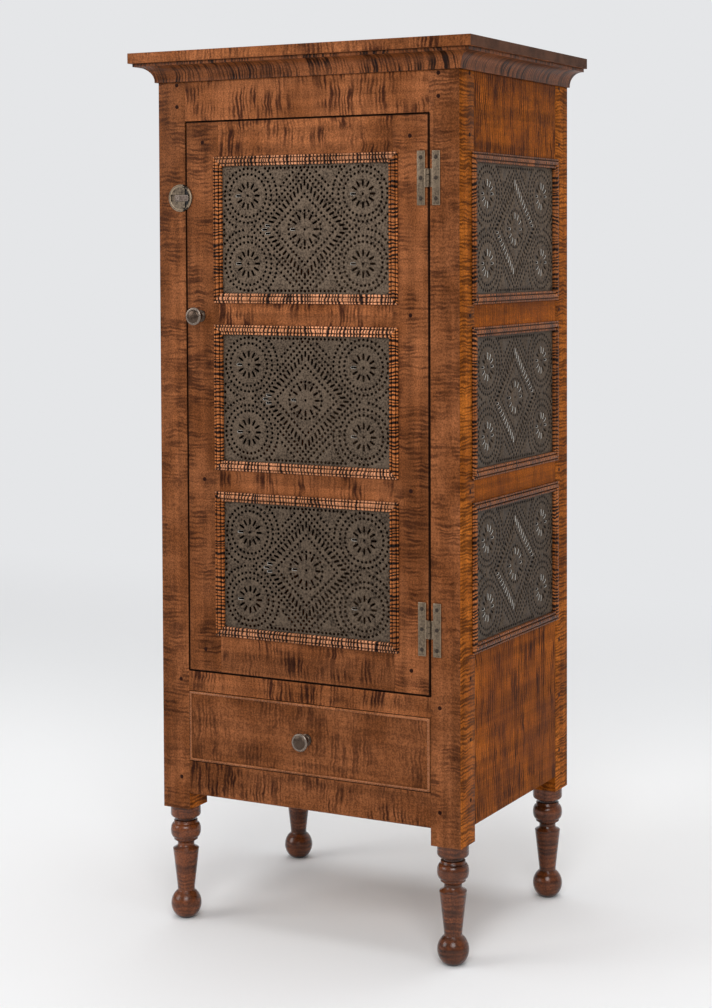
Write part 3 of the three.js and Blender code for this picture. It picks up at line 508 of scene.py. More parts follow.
# For each finish its maker, its colours' names in the settings, and what else the maker takes
MATERIALS = {
    "front_maple": (curly_maple, "front_dark", "front_light", *FRONT_STRIPES),
    # The bead is painted lighter than the front: a painted highlight along its rounded edge
    "bead_maple": (curly_maple, "front_dark", "bead_light", *FRONT_STRIPES, 0.25, (0.2, 0.22), 0.4),
    "side_maple": (
        curly_maple, "side_dark", "side_light",
        (0.007, 0.07), (0.014, 0.07), 0.6, (0.02, 0.4), 0.05, 0.8,
    ),
    "leg_maple": (
        curly_maple, "leg_dark", "leg_light", (0.008, 0.06), (0.012, 0.08), 0.6, (0.36, 0.14)
    ),
    "crown_maple": (
        curly_maple, "leg_dark", "crown_light", (0.006, 0.06), (0.0085, 0.08), 0.65, (0.1, 0.36)
    ),
    "post_side_maple": (
        curly_maple, "post_dark", "post_light", (0.006, 0.05), (0.0075, 0.06), 1.0, (0.02, 0.4)
    ),
    # The tin frames' maple as a lit and a shaded copy: the lit one, painted lighter as if lit from
    # above, for the door's level runs, and the shaded one for its uprights and the sides' frames
    "pale_maple": (curly_maple, "frame_dark", "frame_light", *FRAME_FIGURE),
    "upright_maple": (curly_maple, "frame_dark", "upright_light", *FRAME_FIGURE),
    "inner_maple": (plain_maple, "inner_dark", "inner_light"),
    "aged_tin": (aged_tin, "tin_dark", "tin_light", "tin_rubbed"),
    "pewter": (cast_metal, "pewter_dark", "pewter_light", 0.7, 0.42),
    "dark_metal": (cast_metal, "bronze_dark", "bronze_light", 1.0, 0.3, 0.03, 0.01, 0.08),
    "sand_cast": (cast_metal, "screw", "pewter_light", 0.6, 0.45, 0.005, 0.8, 0.6),
    "bolt": (cast_metal, "bolt", "bronze_light", 0.4, 0.5, 0.003, 0.3),
    "screw": (cast_metal, "screw", "pewter_dark", 0.6, 0.45),
    "peg": (stained_end_grain, "peg"),
    "end_grain": (stained_end_grain, "end_grain"),
}


def finish_for(use):
    """The material for a slot of the record or a part of a piece, made when first asked for"""
    name = f"{use}_finish"
    if name not in bpy.data.materials:
        maker, *values = MATERIALS[use]
        tints = finishes()
        maker(name, *(getattr(tints, v) if isinstance(v, str) else v for v in values))
    return bpy.data.materials[name]


# --- Meshes ---

GRAIN_AXES = {"x": (0, 1, 2), "y": (1, 0, 2), "z": (2, 0, 1)}
# How far apart in the figure one board lies from the next, in metres
BOARD_STEP = (7.31, 3.17, 5.77)
# Mark of an edge painted near black as the shade in a gap, where 1 is one lightened by wear
GAP_SHADE = -1.0
# Least lean of a normal that counts as facing a side
SIDEWAYS = 0.6
# Degrees between two faces above which their edge is eased, and above which it is a corner's
CREASED, NEARLY_SQUARE = 30, 57
KNUCKLE_SIDES, SCREW_SIDES, PEG_SIDES = 20, 16, 14
OUT_OF_FRONT = Matrix.Rotation(math.pi / 2, 4, "X")
boards = itertools.count(1)


def store(mesh, name, values, kind="FLOAT"):
    """Keeps a value for each corner of the mesh, or one for all, under a name its finish reads"""
    attribute = mesh.attributes.get(name) or mesh.attributes.new(name, kind, "POINT")
    if np.isscalar(values):
        values = np.full(len(mesh.vertices), values)
    field = "vector" if kind == "FLOAT_VECTOR" else "value"
    attribute.data.foreach_set(field, np.asarray(values, np.float32).ravel())


def grain_along(mesh, run, figure=0.7, tone=None):
    """Marks where each corner lies along, across and through its board, no two boards alike"""
    board = next(boards)
    corners = np.empty(len(mesh.vertices) * 3, np.float32)
    mesh.vertices.foreach_get("co", corners)
    places = corners.reshape(-1, 3)[:, list(GRAIN_AXES[run])]
    store(mesh, "grain", places + np.array(BOARD_STEP) * board, "FLOAT_VECTOR")
    if tone is None:
        tone = 0.2 + 0.2 * math.sin(78.233 * board) + (0.0 if run == "z" else 0.5)
    store(mesh, "tone", tone)
    store(mesh, "figure", figure)


def middle_of(node):
    low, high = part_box(node)
    return (low + high) / 2


def body_carrying(node):
    holder = frame["nodes"][node].parent
    return next(name for name, empty in frame["bodies"].items() if empty == holder)


def add_object(name, data):
    made = bpy.data.objects.new(name, data)
    bpy.context.scene.collection.objects.link(made)
    return made


def piece(name, mesh, slot, body, replaced=(), uses=()):
    """Puts a mesh in the scene as a finished piece that rides on a body; uses names the finishes
    its faces take, where that isn't just the slot's own"""
    made = add_object(name, mesh)
    for use in uses or [slot]:
        mesh.materials.append(finish_for(use))
    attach(made, body)
    if replaced:
        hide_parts(*replaced)
    return made


def node_piece(node, kind, mesh, slot, uses=()):
    """The piece that takes a CAD node's place"""
    return piece(f"{node}_{kind}", mesh, slot, body_carrying(node), [node], uses)


def shade(work, smooth):
    for face in work.faces:
        face.smooth = smooth


def node_copy(node):
    """An editable copy of a CAD node's shape, its flat faces whole again"""
    work = bmesh.new()
    work.from_mesh(frame["nodes"][node].data)
    bmesh.ops.remove_doubles(work, verts=work.verts, dist=0.00001)
    bmesh.ops.dissolve_limit(
        work, angle_limit=math.radians(0.5), verts=work.verts, edges=work.edges
    )
    shade(work, False)
    return work


def edges_where(work, test):
    """The edges whose two ends pass a test"""
    return [edge for edge in work.edges if test(*(vert.co for vert in edge.verts))]


def sharp(edges, degrees):
    """Those of the edges where two faces meet at more than an angle"""
    least = math.radians(degrees)
    return [e for e in edges if len(e.link_faces) == 2 and e.calc_face_angle(0.0) > least]


def round_over(work, edges, width, segments=2, mark=1.0):
    """Rounds edges over and marks the faces this makes, so that a finish can lighten them as wear
    or paint them dark as the shade in a gap
    """
    marks = work.faces.layers.float.get("arris") or work.faces.layers.float.new("arris")
    before = set(work.faces)
    bmesh.ops.bevel(
        work,
        geom=edges,
        offset=width,
        segments=segments,
        profile=0.5,
        affect="EDGES",
        clamp_overlap=True,
    )
    for face in set(work.faces) - before:
        slender = face.calc_area() < 4 * width * max(edge.calc_length() for edge in face.edges)
        if slender and face[marks] == 0:
            face[marks] = mark


def ease(work, width, segments=2):
    """Rounds every sharp edge over"""
    round_over(work, sharp(work.edges, CREASED), width, segments)


def mesh_from(work, name, smooth_under=None):
    """A mesh from the work, its smooth faces creased wherever they meet at more than an angle"""
    mesh = bpy.data.meshes.new(name)
    bmesh.ops.recalc_face_normals(work, faces=work.faces)
    work.to_mesh(mesh)
    work.free()
    if smooth_under is not None:
        mesh.set_sharp_from_angle(angle=math.radians(smooth_under))
    return mesh


def timber(node, run, slot, rounded=None, width=0.0, mark=0.0, figure=1.0, tone=None):
    """A CAD timber with eased arrises and grain along one axis; rounded picks edges to take down
    by a width of their own, figure says how strongly its curl shows, and tone how light it is"""
    work = node_copy(node)
    if rounded:
        round_over(work, edges_where(work, rounded), width, 6, mark)
    ease(work, timber_sizes().arris)
    mesh = mesh_from(work, node)
    grain_along(mesh, run, figure, tone)
    return node_piece(node, "timber", mesh, slot)


def door_corners():
    """The lower left and the upper right corner of the door, on its face"""
    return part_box("door_latch_stile")[0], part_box("door_hinge_stile")[1]


def at_door_gap(*ends):
    """Whether an edge lies on the front, along the gap round the door"""
    low, high = door_corners()
    near = 3 * MM
    if any(abs(at.y - low.y) > CLOSE or not low.z - near < at.z < high.z + near for at in ends):
        return False
    sides = ((0, low.x), (0, high.x), (2, low.z), (2, high.z))
    return any(all(abs(at[axis] - level) < near for at in ends) for axis, level in sides)


def lathe(work, profile, sides, place=Matrix.Identity(4)):
    """Adds a profile of (radius, height) points turned about Z, then placed"""
    turns = [2 * math.pi * side / sides for side in range(sides)]
    rings = []
    for radius, height in profile:
        spots = [(radius * math.cos(turn), radius * math.sin(turn), height) for turn in turns]
        if radius <= 0:
            spots = spots[:1]
        rings.append([work.verts.new(place @ Vector(spot)) for spot in spots])
    for low, high in zip(rings, rings[1:]):
        for side in range(sides):
            after = (side + 1) % sides
            ends = [low[side % len(low)], low[after % len(low)]]
            ends += [high[after % len(high)], high[side % len(high)]]
            face = list(dict.fromkeys(ends))
            if len(face) > 2:
                work.faces.new(face).smooth = True


def add_box(work, low, high, place=Matrix.Identity(4)):
    for vert in bmesh.ops.create_cube(work, size=1.0)["verts"]:
        corner = [(a + b) / 2 + (b - a) * share for a, b, share in zip(low, high, vert.co)]
        vert.co = place @ Vector(corner)


def arc(middle, radii, angles, steps):
    """Points along an ellipse's arc, its angles in degrees"""
    start, end = (math.radians(angle) for angle in angles)
    turns = [start + (end - start) * step / steps for step in range(steps + 1)]
    return [
        (middle[0] + radii[0] * math.cos(turn), middle[1] + radii[1] * math.sin(turn))
        for turn in turns
    ]


def in_metres(points):
    return [tuple(value * MM for value in point) for point in points]


# --- Case ---

# Outline of the turned leg in millimetres: radius, then height above the floor
LEG = [
    (0, 0),
    (11.5, 0),
    *arc((0, 25), (26.2, 27.8), (-58, 56.2), 18)[1:],
    (14.6, 48.4),
    (15.1, 56),
    (22.4, 120.2),
    (22.6, 121.5),
    (21.9, 122.4),
    (14.9, 126),
    (14.4, 129.5),
    (14.6, 133.2),
    (19.4, 136.9),
    (20.6, 137.6),
    (20.8, 138.4),
    (20.8, 141.2),
    *arc((20.8, 154), (5.4, 12.5), (-90, 90), 14),
    (20.4, 167),
    (20.4, 171.2),
    (19.8, 172),
    (16, 172.3),
    (15.7, 174.6),
    (16, 177),
    (20, 177.1),
    *arc((20, 183), (6, 5.9), (-90, 0), 8),
    (26, 198.9),
    (0, 198.9),
]


def cut_level(work, height, drop_below=False):
    """Cuts the work at a height, may drop what lies below it, and gives the edges of the cut"""
    cut = bmesh.ops.bisect_plane(
        work,
        geom=work.verts[:] + work.edges[:] + work.faces[:],
        dist=0.000001,
        plane_co=(0, 0, height),
        plane_no=(0, 0, 1),
        clear_inner=drop_below,
    )
    return [item for item in cut["geom_cut"] if isinstance(item, bmesh.types.BMEdge)]


def leg_post(node):
    """A square post with its turned leg, cut from one piece"""
    work = node_copy(node)
    sizes = timber_sizes()
    rim = cut_level(work, sizes.leg_height + 0.01 * MM, drop_below=True)
    bmesh.ops.holes_fill(work, edges=rim, sides=0)
    slot = "side_maple"
    if "front" in node:
        slot = "front_maple"
        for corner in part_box("door_latch_stile"):
            cut_level(work, corner.z)
        # The edges along the door's gap are painted dark: a painted shade in the gap
        gap = sharp(edges_where(work, at_door_gap), NEARLY_SQUARE)
        round_over(work, gap, sizes.gap_arris, 6, GAP_SHADE)
    ease(work, sizes.arris)
    middle = middle_of(node)
    leg = Matrix.Translation((middle.x, middle.y, 0))
    lathe(work, in_metres(LEG), sizes.turning_sides, leg)
    mesh = mesh_from(work, node, smooth_under=28)
    grain_along(mesh, "z")
    node_piece(node, "timber", mesh, slot, (slot, "post_side_maple", "leg_maple"))
    for face in mesh.polygons:
        if face.center.z < sizes.leg_height + 0.5 * MM:
            face.material_index = 2
        elif abs(face.normal.x) > SIDEWAYS:
            face.material_index = 1


class PIESAFE_OT_posts(bpy.types.Operator):
    """Adds the four posts, each turned below into its leg"""

    bl_idname = "pie_safe.add_posts"
    bl_label = "Posts and turned legs"

    def execute(self, context):
        for end in ("front", "back"):
            for side in ("left", "right"):
                leg_post(f"post_{end}_{side}")
        return {"FINISHED"}


class PIESAFE_OT_rails(bpy.types.Operator):
    """Adds the rails of the front and of both sides"""

    bl_idname = "pie_safe.add_rails"
    bl_label = "Rails"

    def execute(self, context):
        sizes = timber_sizes()
        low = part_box("front_bottom_rail")[0]

        def along_the_foot(*ends):
            return all(abs(at.y - low.y) + abs(at.z - low.z) < CLOSE for at in ends)

        timber("front_bottom_rail", "x", "front_maple", along_the_foot, sizes.bead, tone=-0.2)
        for height in ("middle", "top"):
            # The rail's edges along the door's gap are painted dark: a painted shade in the gap
            timber(f"front_{height}_rail", "x", "front_maple", at_door_gap, sizes.arris, GAP_SHADE)
        for side in ("left", "right"):
            for height in ("bottom", "lower", "upper", "top"):
                figure = 1.0 if height in ("bottom", "top") else 0.5
                timber(f"side_{height}_rail_{side}", "y", "side_maple", figure=figure)
        return {"FINISHED"}


class PIESAFE_OT_inside(bpy.types.Operator):
    """Adds the back, the cupboard's floor and shelves, and the drawer's box"""

    bl_idname = "pie_safe.add_inside"
    bl_label = "Back, shelves and drawer box"

    def execute(self, context):
        runs = {
            "back_panel": "z",
            "cupboard_floor": "x",
            "shelf_lower": "x",
            "shelf_upper": "x",
            "drawer_back": "x",
            "drawer_bottom": "x",
            "drawer_left_side": "y",
            "drawer_right_side": "y",
        }
        for node, run in runs.items():
            timber(node, run, "inner_maple")
        return {"FINISHED"}


# Section of the cove moulding in millimetres: out from the case, then up from its foot
COVE = [
    (0.1, 0),
    (4.6, 0),
    (5, 0.4),
    (5, 1.9),
    *arc((29, 2.2), (24, 24), (180, 90), 20),
    (31.4, 26.2),
    (31.8, 26.6),
    (31.8, 31.3),
    (31.5, 31.6),
    (0.1, 31.6),
]


def moulding_layers(work):
    """Layers for what a finish reads of a moulding: its grain, tone and figure"""
    kinds = work.verts.layers
    for name in ("arris", "tone", "figure"):
        kinds.float.new(name)
    return kinds.float_vector.new("grain"), kinds.float["tone"], kinds.float["figure"]


def moulded_run(work, section, start, end, layers, run):
    """Adds one straight run of moulding between two mitred ends, its grain along it"""
    grain, tone, figure = layers
    shift = Vector(BOARD_STEP) * next(boards)
    rings = []
    for corner_at in (start, end):
        ring = [work.verts.new(corner_at(*point)) for point in section]
        for vert in ring:
            vert[grain] = Vector([vert.co[axis] for axis in GRAIN_AXES[run]]) + shift
            vert[tone] = 0.4 + 0.4 * math.sin(shift.x)
            vert[figure] = 1.0
        rings.append(ring)
    near, far = rings
    faces = []
    for i in range(len(section)):
        j = (i + 1) % len(section)
        faces.append(work.faces.new((near[i], near[j], far[j], far[i])))
        faces[-1].smooth = True
    return [*faces, work.faces.new(near), work.faces.new(list(reversed(far)))]


class PIESAFE_OT_top(bpy.types.Operator):
    """Adds the top board and the cove moulding under it"""

    bl_idname = "pie_safe.add_top"
    bl_label = "Top and cove moulding"

    def execute(self, context):
        board = timber("top_board", "x", "front_maple").data
        board.materials.append(finish_for("end_grain"))
        for face in board.polygons:
            if abs(face.normal.x) > SIDEWAYS:
                face.material_index = 1
        low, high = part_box("crown_moulding")
        reach = max(out for out, up in COVE) * MM
        foot = high.z - max(up for out, up in COVE) * MM
        work = bmesh.new()
        layers = moulding_layers(work)

        def corner(side, back):
            def at(out, up):
                x = side * (high.x - reach + out * MM)
                y = high.y if back else low.y + reach - out * MM
                return Vector((x, y, foot + up * MM))

            return at

        corners = [corner(-1, True), corner(-1, False), corner(1, False), corner(1, True)]
        for start, end, run in zip(corners, corners[1:], "yxy"):
            moulded_run(work, COVE, start, end, layers, run)
        mesh = mesh_from(work, "crown_moulding", smooth_under=30)
        node_piece("crown_moulding", "timber", mesh, "front_maple", ["crown_maple"])
        return {"FINISHED"}


# --- Tins ---

TIN_PLACES = [(place, row) for place in ("door", "left", "right") for row in (1, 2, 3)]
# How light the tins of each row are, counted from the foot: a painted shade that darkens the lower
# rows, as if the light falls off towards the floor
TIN_ROW_SHADE_TONES = {1: 0.25, 2: 0.5, 3: 1.0}

# The punched pattern in millimetres from the tin's centre or a corner star's. Stars: the ends of
# a slit along its radius. Circles: radius and count of dots.
SLITS_A_STAR = 12
MIDDLE_STAR, CORNER_STAR = (17, 27.6), (12.5, 23.6)
MIDDLE_CIRCLES, CORNER_CIRCLES = [(31, 24)], [(36, 29), (45.5, 36)]
DIAMONDS = (58.5, 90.5, 102.5)
SLIT_DIAMOND, SLIT_DIAMOND_STEP, SLIT_DIAMOND_LENGTH = 77, 9, 10.8
CLOSEST_DOTS = 4.6
DOT_SIDES = 7


def circle_of_dots(middle, radius, count, start=90.0):
    turns = [math.radians(start + 360 * i / count) for i in range(count)]
    return [
        (middle[0] + radius * math.cos(turn), middle[1] + radius * math.sin(turn)) for turn in turns
    ]


def line_of_dots(start, end, spacing):
    """Dots from start up to, and not on, end"""
    count = max(1, round(math.dist(start, end) / spacing))
    return [tuple(a + (b - a) * i / count for a, b in zip(start, end)) for i in range(count)]


def diamond_of_dots(reach, spacing):
    corners = [(reach, 0), (0, reach), (-reach, 0), (0, -reach), (reach, 0)]
    lines = [line_of_dots(start, end, spacing) for start, end in zip(corners, corners[1:])]
    return list(itertools.chain(*lines))


def arc_of_dots(middle, radius, angles, spacing):
    sweep = math.radians(abs(angles[1] - angles[0])) * radius
    return arc(middle, (radius, radius), angles, max(1, round(sweep / spacing)))


def star_slits(middle, ends):
    """Slits that point away from a star's centre: middle, angle and length of each"""
    inner, outer = ends
    reach = (inner + outer) / 2
    slits = []
    for i in range(SLITS_A_STAR):
        turn = 2 * math.pi * i / SLITS_A_STAR
        place = (middle[0] + reach * math.cos(turn), middle[1] + reach * math.sin(turn))
        slits.append((place, turn, outer - inner))
    return slits


def spaced_out(dots, least):
    """The dots without any that falls on an earlier one"""
    kept = []
    for dot in dots:
        if all(math.dist(dot, other) >= least for other in kept):
            kept.append(dot)
    return kept


def tin_pattern():
    """Every dot, and every slit with its angle and length, in millimetres from the tin's centre"""
    sizes = tin_sizes()
    step = sizes.dot_spacing / MM
    across, up = sizes.star_across / MM, sizes.star_up / MM
    mirrored = list(itertools.product((-1, 1), (-1, 1)))
    stars = [((0, 0), MIDDLE_STAR, MIDDLE_CIRCLES)]
    stars += [((side * across, end * up), CORNER_STAR, CORNER_CIRCLES) for side, end in mirrored]
    dots, slits = [], []
    for middle, ends, circles in stars:
        dots.append(middle)
        for radius, count in circles:
            dots += circle_of_dots(middle, radius, count)
        slits += star_slits(middle, ends)
    for reach in DIAMONDS:
        dots += diamond_of_dots(reach, step)
    quarter = arc_of_dots((across, up), 56.5, (127, 186), step)
    quarter += arc_of_dots((across, up), 57.2, (-36, -80), step)
    quarter += line_of_dots((0, 102), (75, 102), step) + [(75, 102)]
    quarter += line_of_dots((51, 66), (17, 100), step)
    quarter += line_of_dots((157, 0), (157, 19), 9.5) + [(157, 19), (117, 0)]
    dots += [(side * x, end * z) for side, end in mirrored for x, z in quarter]
    for place in diamond_of_dots(SLIT_DIAMOND, SLIT_DIAMOND_STEP):
        slits.append((place, math.atan2(place[1], place[0]), SLIT_DIAMOND_LENGTH))
    return spaced_out(dots, CLOSEST_DOTS), slits


def slit_ring(middle, turn, half_length, half_width):
    """A slit's outline, blunt at both ends"""
    along, aside = math.cos(turn), math.sin(turn)
    blunt, shoulder = half_length - half_width * 0.6, half_width * 0.9
    outline = [
        (half_length, 0),
        (blunt, shoulder),
        (0, half_width),
        (-blunt, shoulder),
        (-half_length, 0),
        (-blunt, -shoulder),
        (0, -half_width),
        (blunt, -shoulder),
    ]
    return [
        (middle[0] + a * along - b * aside, middle[1] + a * aside + b * along) for a, b in outline
    ]


def shows_glint(middle, turn, on_door):
    """Whether a slit's wall takes a painted glint: a star's level strokes on the door; on the sides
    the strokes that rise towards the back, and most of the stars' own"""
    if on_door:
        return abs(math.sin(turn)) < 0.1 and math.cos(turn) < 0
    on_diamond = abs(abs(middle[0]) + abs(middle[1]) - SLIT_DIAMOND) < 1
    return math.sin(2 * turn) > (0.0 if on_diamond else -0.5)


def punched_sheet(half_width, half_height, on_door):
    """Corners and faces of one punched tin, facing -Y with its centre at zero, and each corner's
    marks: how far it is down a punch painted dark as shade, and down a slit's wall painted with a
    glint above and shade at its foot. The door's punches go through; on the sides each keeps a
    bottom, painted black as the shade inside it."""
    sizes = tin_sizes()
    dot, dish = sizes.dot_radius / MM, sizes.dish / MM
    slit = sizes.slit_width / MM / 2
    # Marks of a corner: none, painted shade down a punch, painted glint down a slit's wall
    unmarked, shaded_hole, glinting = (0.0, 0.0), (1.0, 0.0), (0.0, 1.0)
    dots, slits = tin_pattern()
    punches = []
    for middle in dots:
        inner, outer = (circle_of_dots(middle, size, DOT_SIDES) for size in (dot, dot + dish))
        punches.append((inner, outer, sizes.dish_depth / MM, shaded_hole))
    for middle, turn, long in slits:
        inner = slit_ring(middle, turn, long / 2, slit)
        outer = slit_ring(middle, turn, long / 2 + dish * 0.6, slit + dish)
        # Some slits' walls take a painted glint, the rest a painted shade
        mark = glinting if shows_glint(middle, turn, on_door) else shaded_hole
        punches.append((inner, outer, sizes.slit_depth / MM, mark))
    rim = [
        (-half_width, -half_height),
        (half_width, -half_height),
        (half_width, half_height),
        (-half_width, half_height),
    ]
    rings = [(rim, 0.0, unmarked, -1)]
    for index, (inner, outer, deep, mark) in enumerate(punches):
        rings += [(inner, deep, mark, index), (outer, 0.0, unmarked, -1)]
    flat, edges, depth, marks, hole_of = [], [], [], [], []
    for ring, sunk, mark, hole in rings:
        first, count = len(flat), len(ring)
        flat += [Vector(point) for point in ring]
        edges += [(first + i, first + (i + 1) % count) for i in range(count)]
        depth += [sunk] * count
        marks += [mark] * count
        hole_of += [hole] * count
    corners, _, faces, origins, _, _ = delaunay_2d_cdt(flat, edges, [], 0, 1e-6, True)
    source = [found[0] if found else 0 for found in origins]
    kept = []
    for face in faces:
        holes = {hole_of[source[corner]] for corner in face}
        # On the sides the faces across a punch's foot stay, a bottom painted black as the shade
        # inside it
        if len(holes) > 1 or -1 in holes or not on_door:
            kept.append(tuple(face))
    places = [
        (corner.x * MM, depth[source[i]] * MM, corner.y * MM) for i, corner in enumerate(corners)
    ]
    return places, kept, [marks[source[i]] for i in range(len(corners))]


def panel_place(node):
    """Where a panel of the door or a side lies: its own x runs across and its -Y faces out"""
    low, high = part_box(node)
    face = middle_of(node)
    if node.startswith("door"):
        turn, face.y = 0.0, low.y
    elif node.startswith("right"):
        turn, face.x = math.pi / 2, high.x
    else:
        turn, face.x = -math.pi / 2, low.x
    return Matrix.Translation(face) @ Matrix.Rotation(turn, 4, "Z")


class PIESAFE_OT_tins(bpy.types.Operator):
    """Adds the nine punched tins"""

    bl_idname = "pie_safe.add_tins"
    bl_label = "Punched tins"

    def execute(self, context):
        low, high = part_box("door_tin_1")
        half_width, half_height = (high.x - low.x) / 2 / MM, (high.z - low.z) / 2 / MM
        sheets = {door: punched_sheet(half_width, half_height, door) for door in (True, False)}
        for place, row in TIN_PLACES:
            node = f"{place}_tin_{row}"
            places, faces, marks = sheets[place == "door"]
            # Marks for the painted shade in the punches and the painted glints on the slits' walls
            hole_shades, walls = zip(*marks)
            mesh = bpy.data.meshes.new(node)
            mesh.from_pydata(places, [], faces)
            grain_along(mesh, "x", tone=TIN_ROW_SHADE_TONES[row])
            store(mesh, "lip", hole_shades)
            store(mesh, "wall", walls)
            mesh.transform(panel_place(node))
            mesh.shade_smooth()
            node_piece(node, "sheet", mesh, "aged_tin")
        return {"FINISHED"}


# Section of the frame round a tin in millimetres: in from its outer edge, then out from the wood
FRAME_SECTION = [
    (0.1, 0.1),
    (0, 1.6),
    *arc((1.6, 1.7), (1.6, 1.6), (180, 20), 7),
    (3.3, 0.2),
    (4.3, 0.2),
    (4.4, 2.3),
    *arc((7.6, 2.3), (3.2, 2.5), (170, 10), 12),
    (10.8, 1.9),
    (10.9, 0.2),
    (12, 0.2),
    *arc((14.1, 1.6), (2.0, 1.7), (175, 0), 8),
    (16.2, 0.9),
    (16.2, -2.4),
    (3.4, -2.4),
    (3.4, 0.1),
]
# How deep in the wood the back of a frame lies, in millimetres
FRAME_SUNK = 2.5
SIDE_FRAME_TONE = -0.15


def framed(place, row):
    """The four mitred runs of moulding round a tin"""
    node = f"{place}_tin_frame_{row}"
    low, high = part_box(node)
    size = high - low
    half_width, half_height = max(size.x, size.y) / 2, size.z / 2
    thickness = min(size.x, size.y)
    work = bmesh.new()
    layers = moulding_layers(work)

    def corner(side, end):
        def at(inward, out):
            x = side * (half_width - inward * MM)
            z = end * (half_height - inward * MM)
            return Vector((x, thickness - (out + FRAME_SUNK) * MM, z))

        return at

    corners = [corner(*ends) for ends in ((-1, -1), (-1, 1), (1, 1), (1, -1), (-1, -1))]
    for start, end, run in zip(corners, corners[1:], "zxzx"):
        for face in moulded_run(work, FRAME_SECTION, start, end, layers, run):
            # The door's level runs take the lit copy of the frame maple, painted lighter as if lit
            # from above; its uprights and every run on the sides take the shaded copy
            face.material_index = int(run == "z" or place != "door")
    mesh = mesh_from(work, node, smooth_under=32)
    if place != "door":
        store(mesh, "tone", SIDE_FRAME_TONE)
    mesh.transform(panel_place(node))
    node_piece(node, "moulding", mesh, "pale_maple", ("pale_maple", "upright_maple"))


class PIESAFE_OT_tin_frames(bpy.types.Operator):
    """Adds the mitred frame round each tin"""

    bl_idname = "pie_safe.add_tin_frames"
    bl_label = "Tin frames"

    def execute(self, context):
        for place, row in TIN_PLACES:
            framed(place, row)
        return {"FINISHED"}


# --- Door and drawer ---

# How light each rail of the door is
DOOR_RAIL_TONES = {"bottom": 0.0, "lower": 0.45, "upper": 0.85, "top": 0.7}


class PIESAFE_OT_door(bpy.types.Operator):
    """Adds the door's stiles and rails"""

    bl_idname = "pie_safe.add_door"
    bl_label = "Door"

    def execute(self, context):
        # The edges along the gap round the door are painted dark: a painted shade in the gap
        wear_and_gap_shade = timber_sizes().gap_arris
        for stile in ("latch", "hinge"):
            timber(f"door_{stile}_stile", "z", "front_maple", at_door_gap, wear_and_gap_shade, GAP_SHADE, 0.8)
        for height, tone in DOOR_RAIL_TONES.items():
            rail = f"door_{height}_rail"
            timber(rail, "x", "front_maple", at_door_gap, wear_and_gap_shade, GAP_SHADE, tone=tone)
        return {"FINISHED"}


class PIESAFE_OT_drawer(bpy.types.Operator):
    """Adds the drawer's front with the bead round it"""

    bl_idname = "pie_safe.add_drawer"
    bl_label = "Drawer front"

    def execute(self, context):
        timber("drawer_front", "x", "front_maple", figure=0.65, tone=0.0)
        work = node_copy("drawer_cock_bead")
        ease(work, 1.3 * MM, segments=4)
        shade(work, True)
        mesh = mesh_from(work, "drawer_cock_bead", smooth_under=40)
        grain_along(mesh, "x", 0.4)
        node_piece("drawer_cock_bead", "timber", mesh, "front_maple", ["bead_maple"])
        return {"FINISHED"}


# --- Fittings ---

# Outline of a knob in millimetres: radius, then distance out of the wood
KNOB = [
    (0, -20),
    (3, -20),
    (3, 0),
    (9.9, 0.05),
    (10.4, 0.6),
    (10.2, 1.5),
    (8.8, 2.1),
    *arc((9, 8.6), (3.5, 6.5), (270, 180), 8),
    (5.2, 13.2),
    (5.8, 16.4),
    (11.5, 19),
    *arc((12.6, 21.4), (2.8, 2.6), (-75, 105), 12),
    (11, 24),
    *arc((0, 23.9), (10.6, 2.2), (10, 90), 10)[:-1],
    (0, 26.1),
]
# Beyond which radius, and how far out, a knob's rim is painted lighter, as wear and as a painted
# highlight
BRIGHT_RIM_RADIUS, BRIGHT_RIM_OUT = 11.8 * MM, 18 * MM


class PIESAFE_OT_knobs(bpy.types.Operator):
    """Adds the turned knobs of the door and the drawer"""

    bl_idname = "pie_safe.add_knobs"
    bl_label = "Knobs"

    def execute(self, context):
        for node in ("door_knob", "drawer_knob"):
            place = middle_of(node)
            place.y = door_corners()[0].y
            work = bmesh.new()
            brightened = work.verts.layers.float.new("arris")
            matrix = Matrix.Translation(place) @ OUT_OF_FRONT
            lathe(work, in_metres(KNOB), timber_sizes().turning_sides, matrix)
            # The rim is painted lighter: wear, and a painted highlight
            for vert in work.verts:
                radius = math.dist((vert.co.x, vert.co.z), (place.x, place.z))
                if radius > BRIGHT_RIM_RADIUS and place.y - vert.co.y > BRIGHT_RIM_OUT:
                    vert[brightened] = 0.6
            mesh = mesh_from(work, node, smooth_under=40)
            grain_along(mesh, "z")
            node_piece(node, "turned", mesh, "dark_metal")
        return {"FINISHED"}


# Sizes of an H hinge in millimetres: from the pin to both edges of a strap and of its neck, half
# the neck's height, the strap's thickness, and how far from its middle the screws lie
STRAP, NECK = (6.5, 20.5), (2.9, 6.8)
NECK_REACH = 14.8
STRAP_THICKNESS = 2
SCREW_PLACES = (-33, 0, 33)
SCREW_RADIUS, SCREW_PROUD = 3.4, 0.5
# Outline of a hinge's knuckle, and where each leaf has its own
KNUCKLE = [(0, -4.8), (2.2, -4.8), (2.7, -4.3), (2.7, 4.3), (2.2, 4.8), (0, 4.8)]
KNUCKLE_PLACES = {"post": (-10, 10), "door": (0,)}


def add_screw(work, place, turn):
    """A round head with a slot across it"""
    radius, proud = SCREW_RADIUS, SCREW_PROUD
    profile = [(0, -0.2), (radius, -0.2), (radius, 0.3 * proud), (0.72 * radius, proud), (0, proud)]
    lathe(work, in_metres(profile), SCREW_SIDES, place)
    half = 0.86 * radius
    low, high = in_metres([(-half, -0.35, 0.96 * proud), (half, 0.35, 1.02 * proud)])
    add_box(work, low, high, place @ Matrix.Rotation(turn, 4, "Z"))


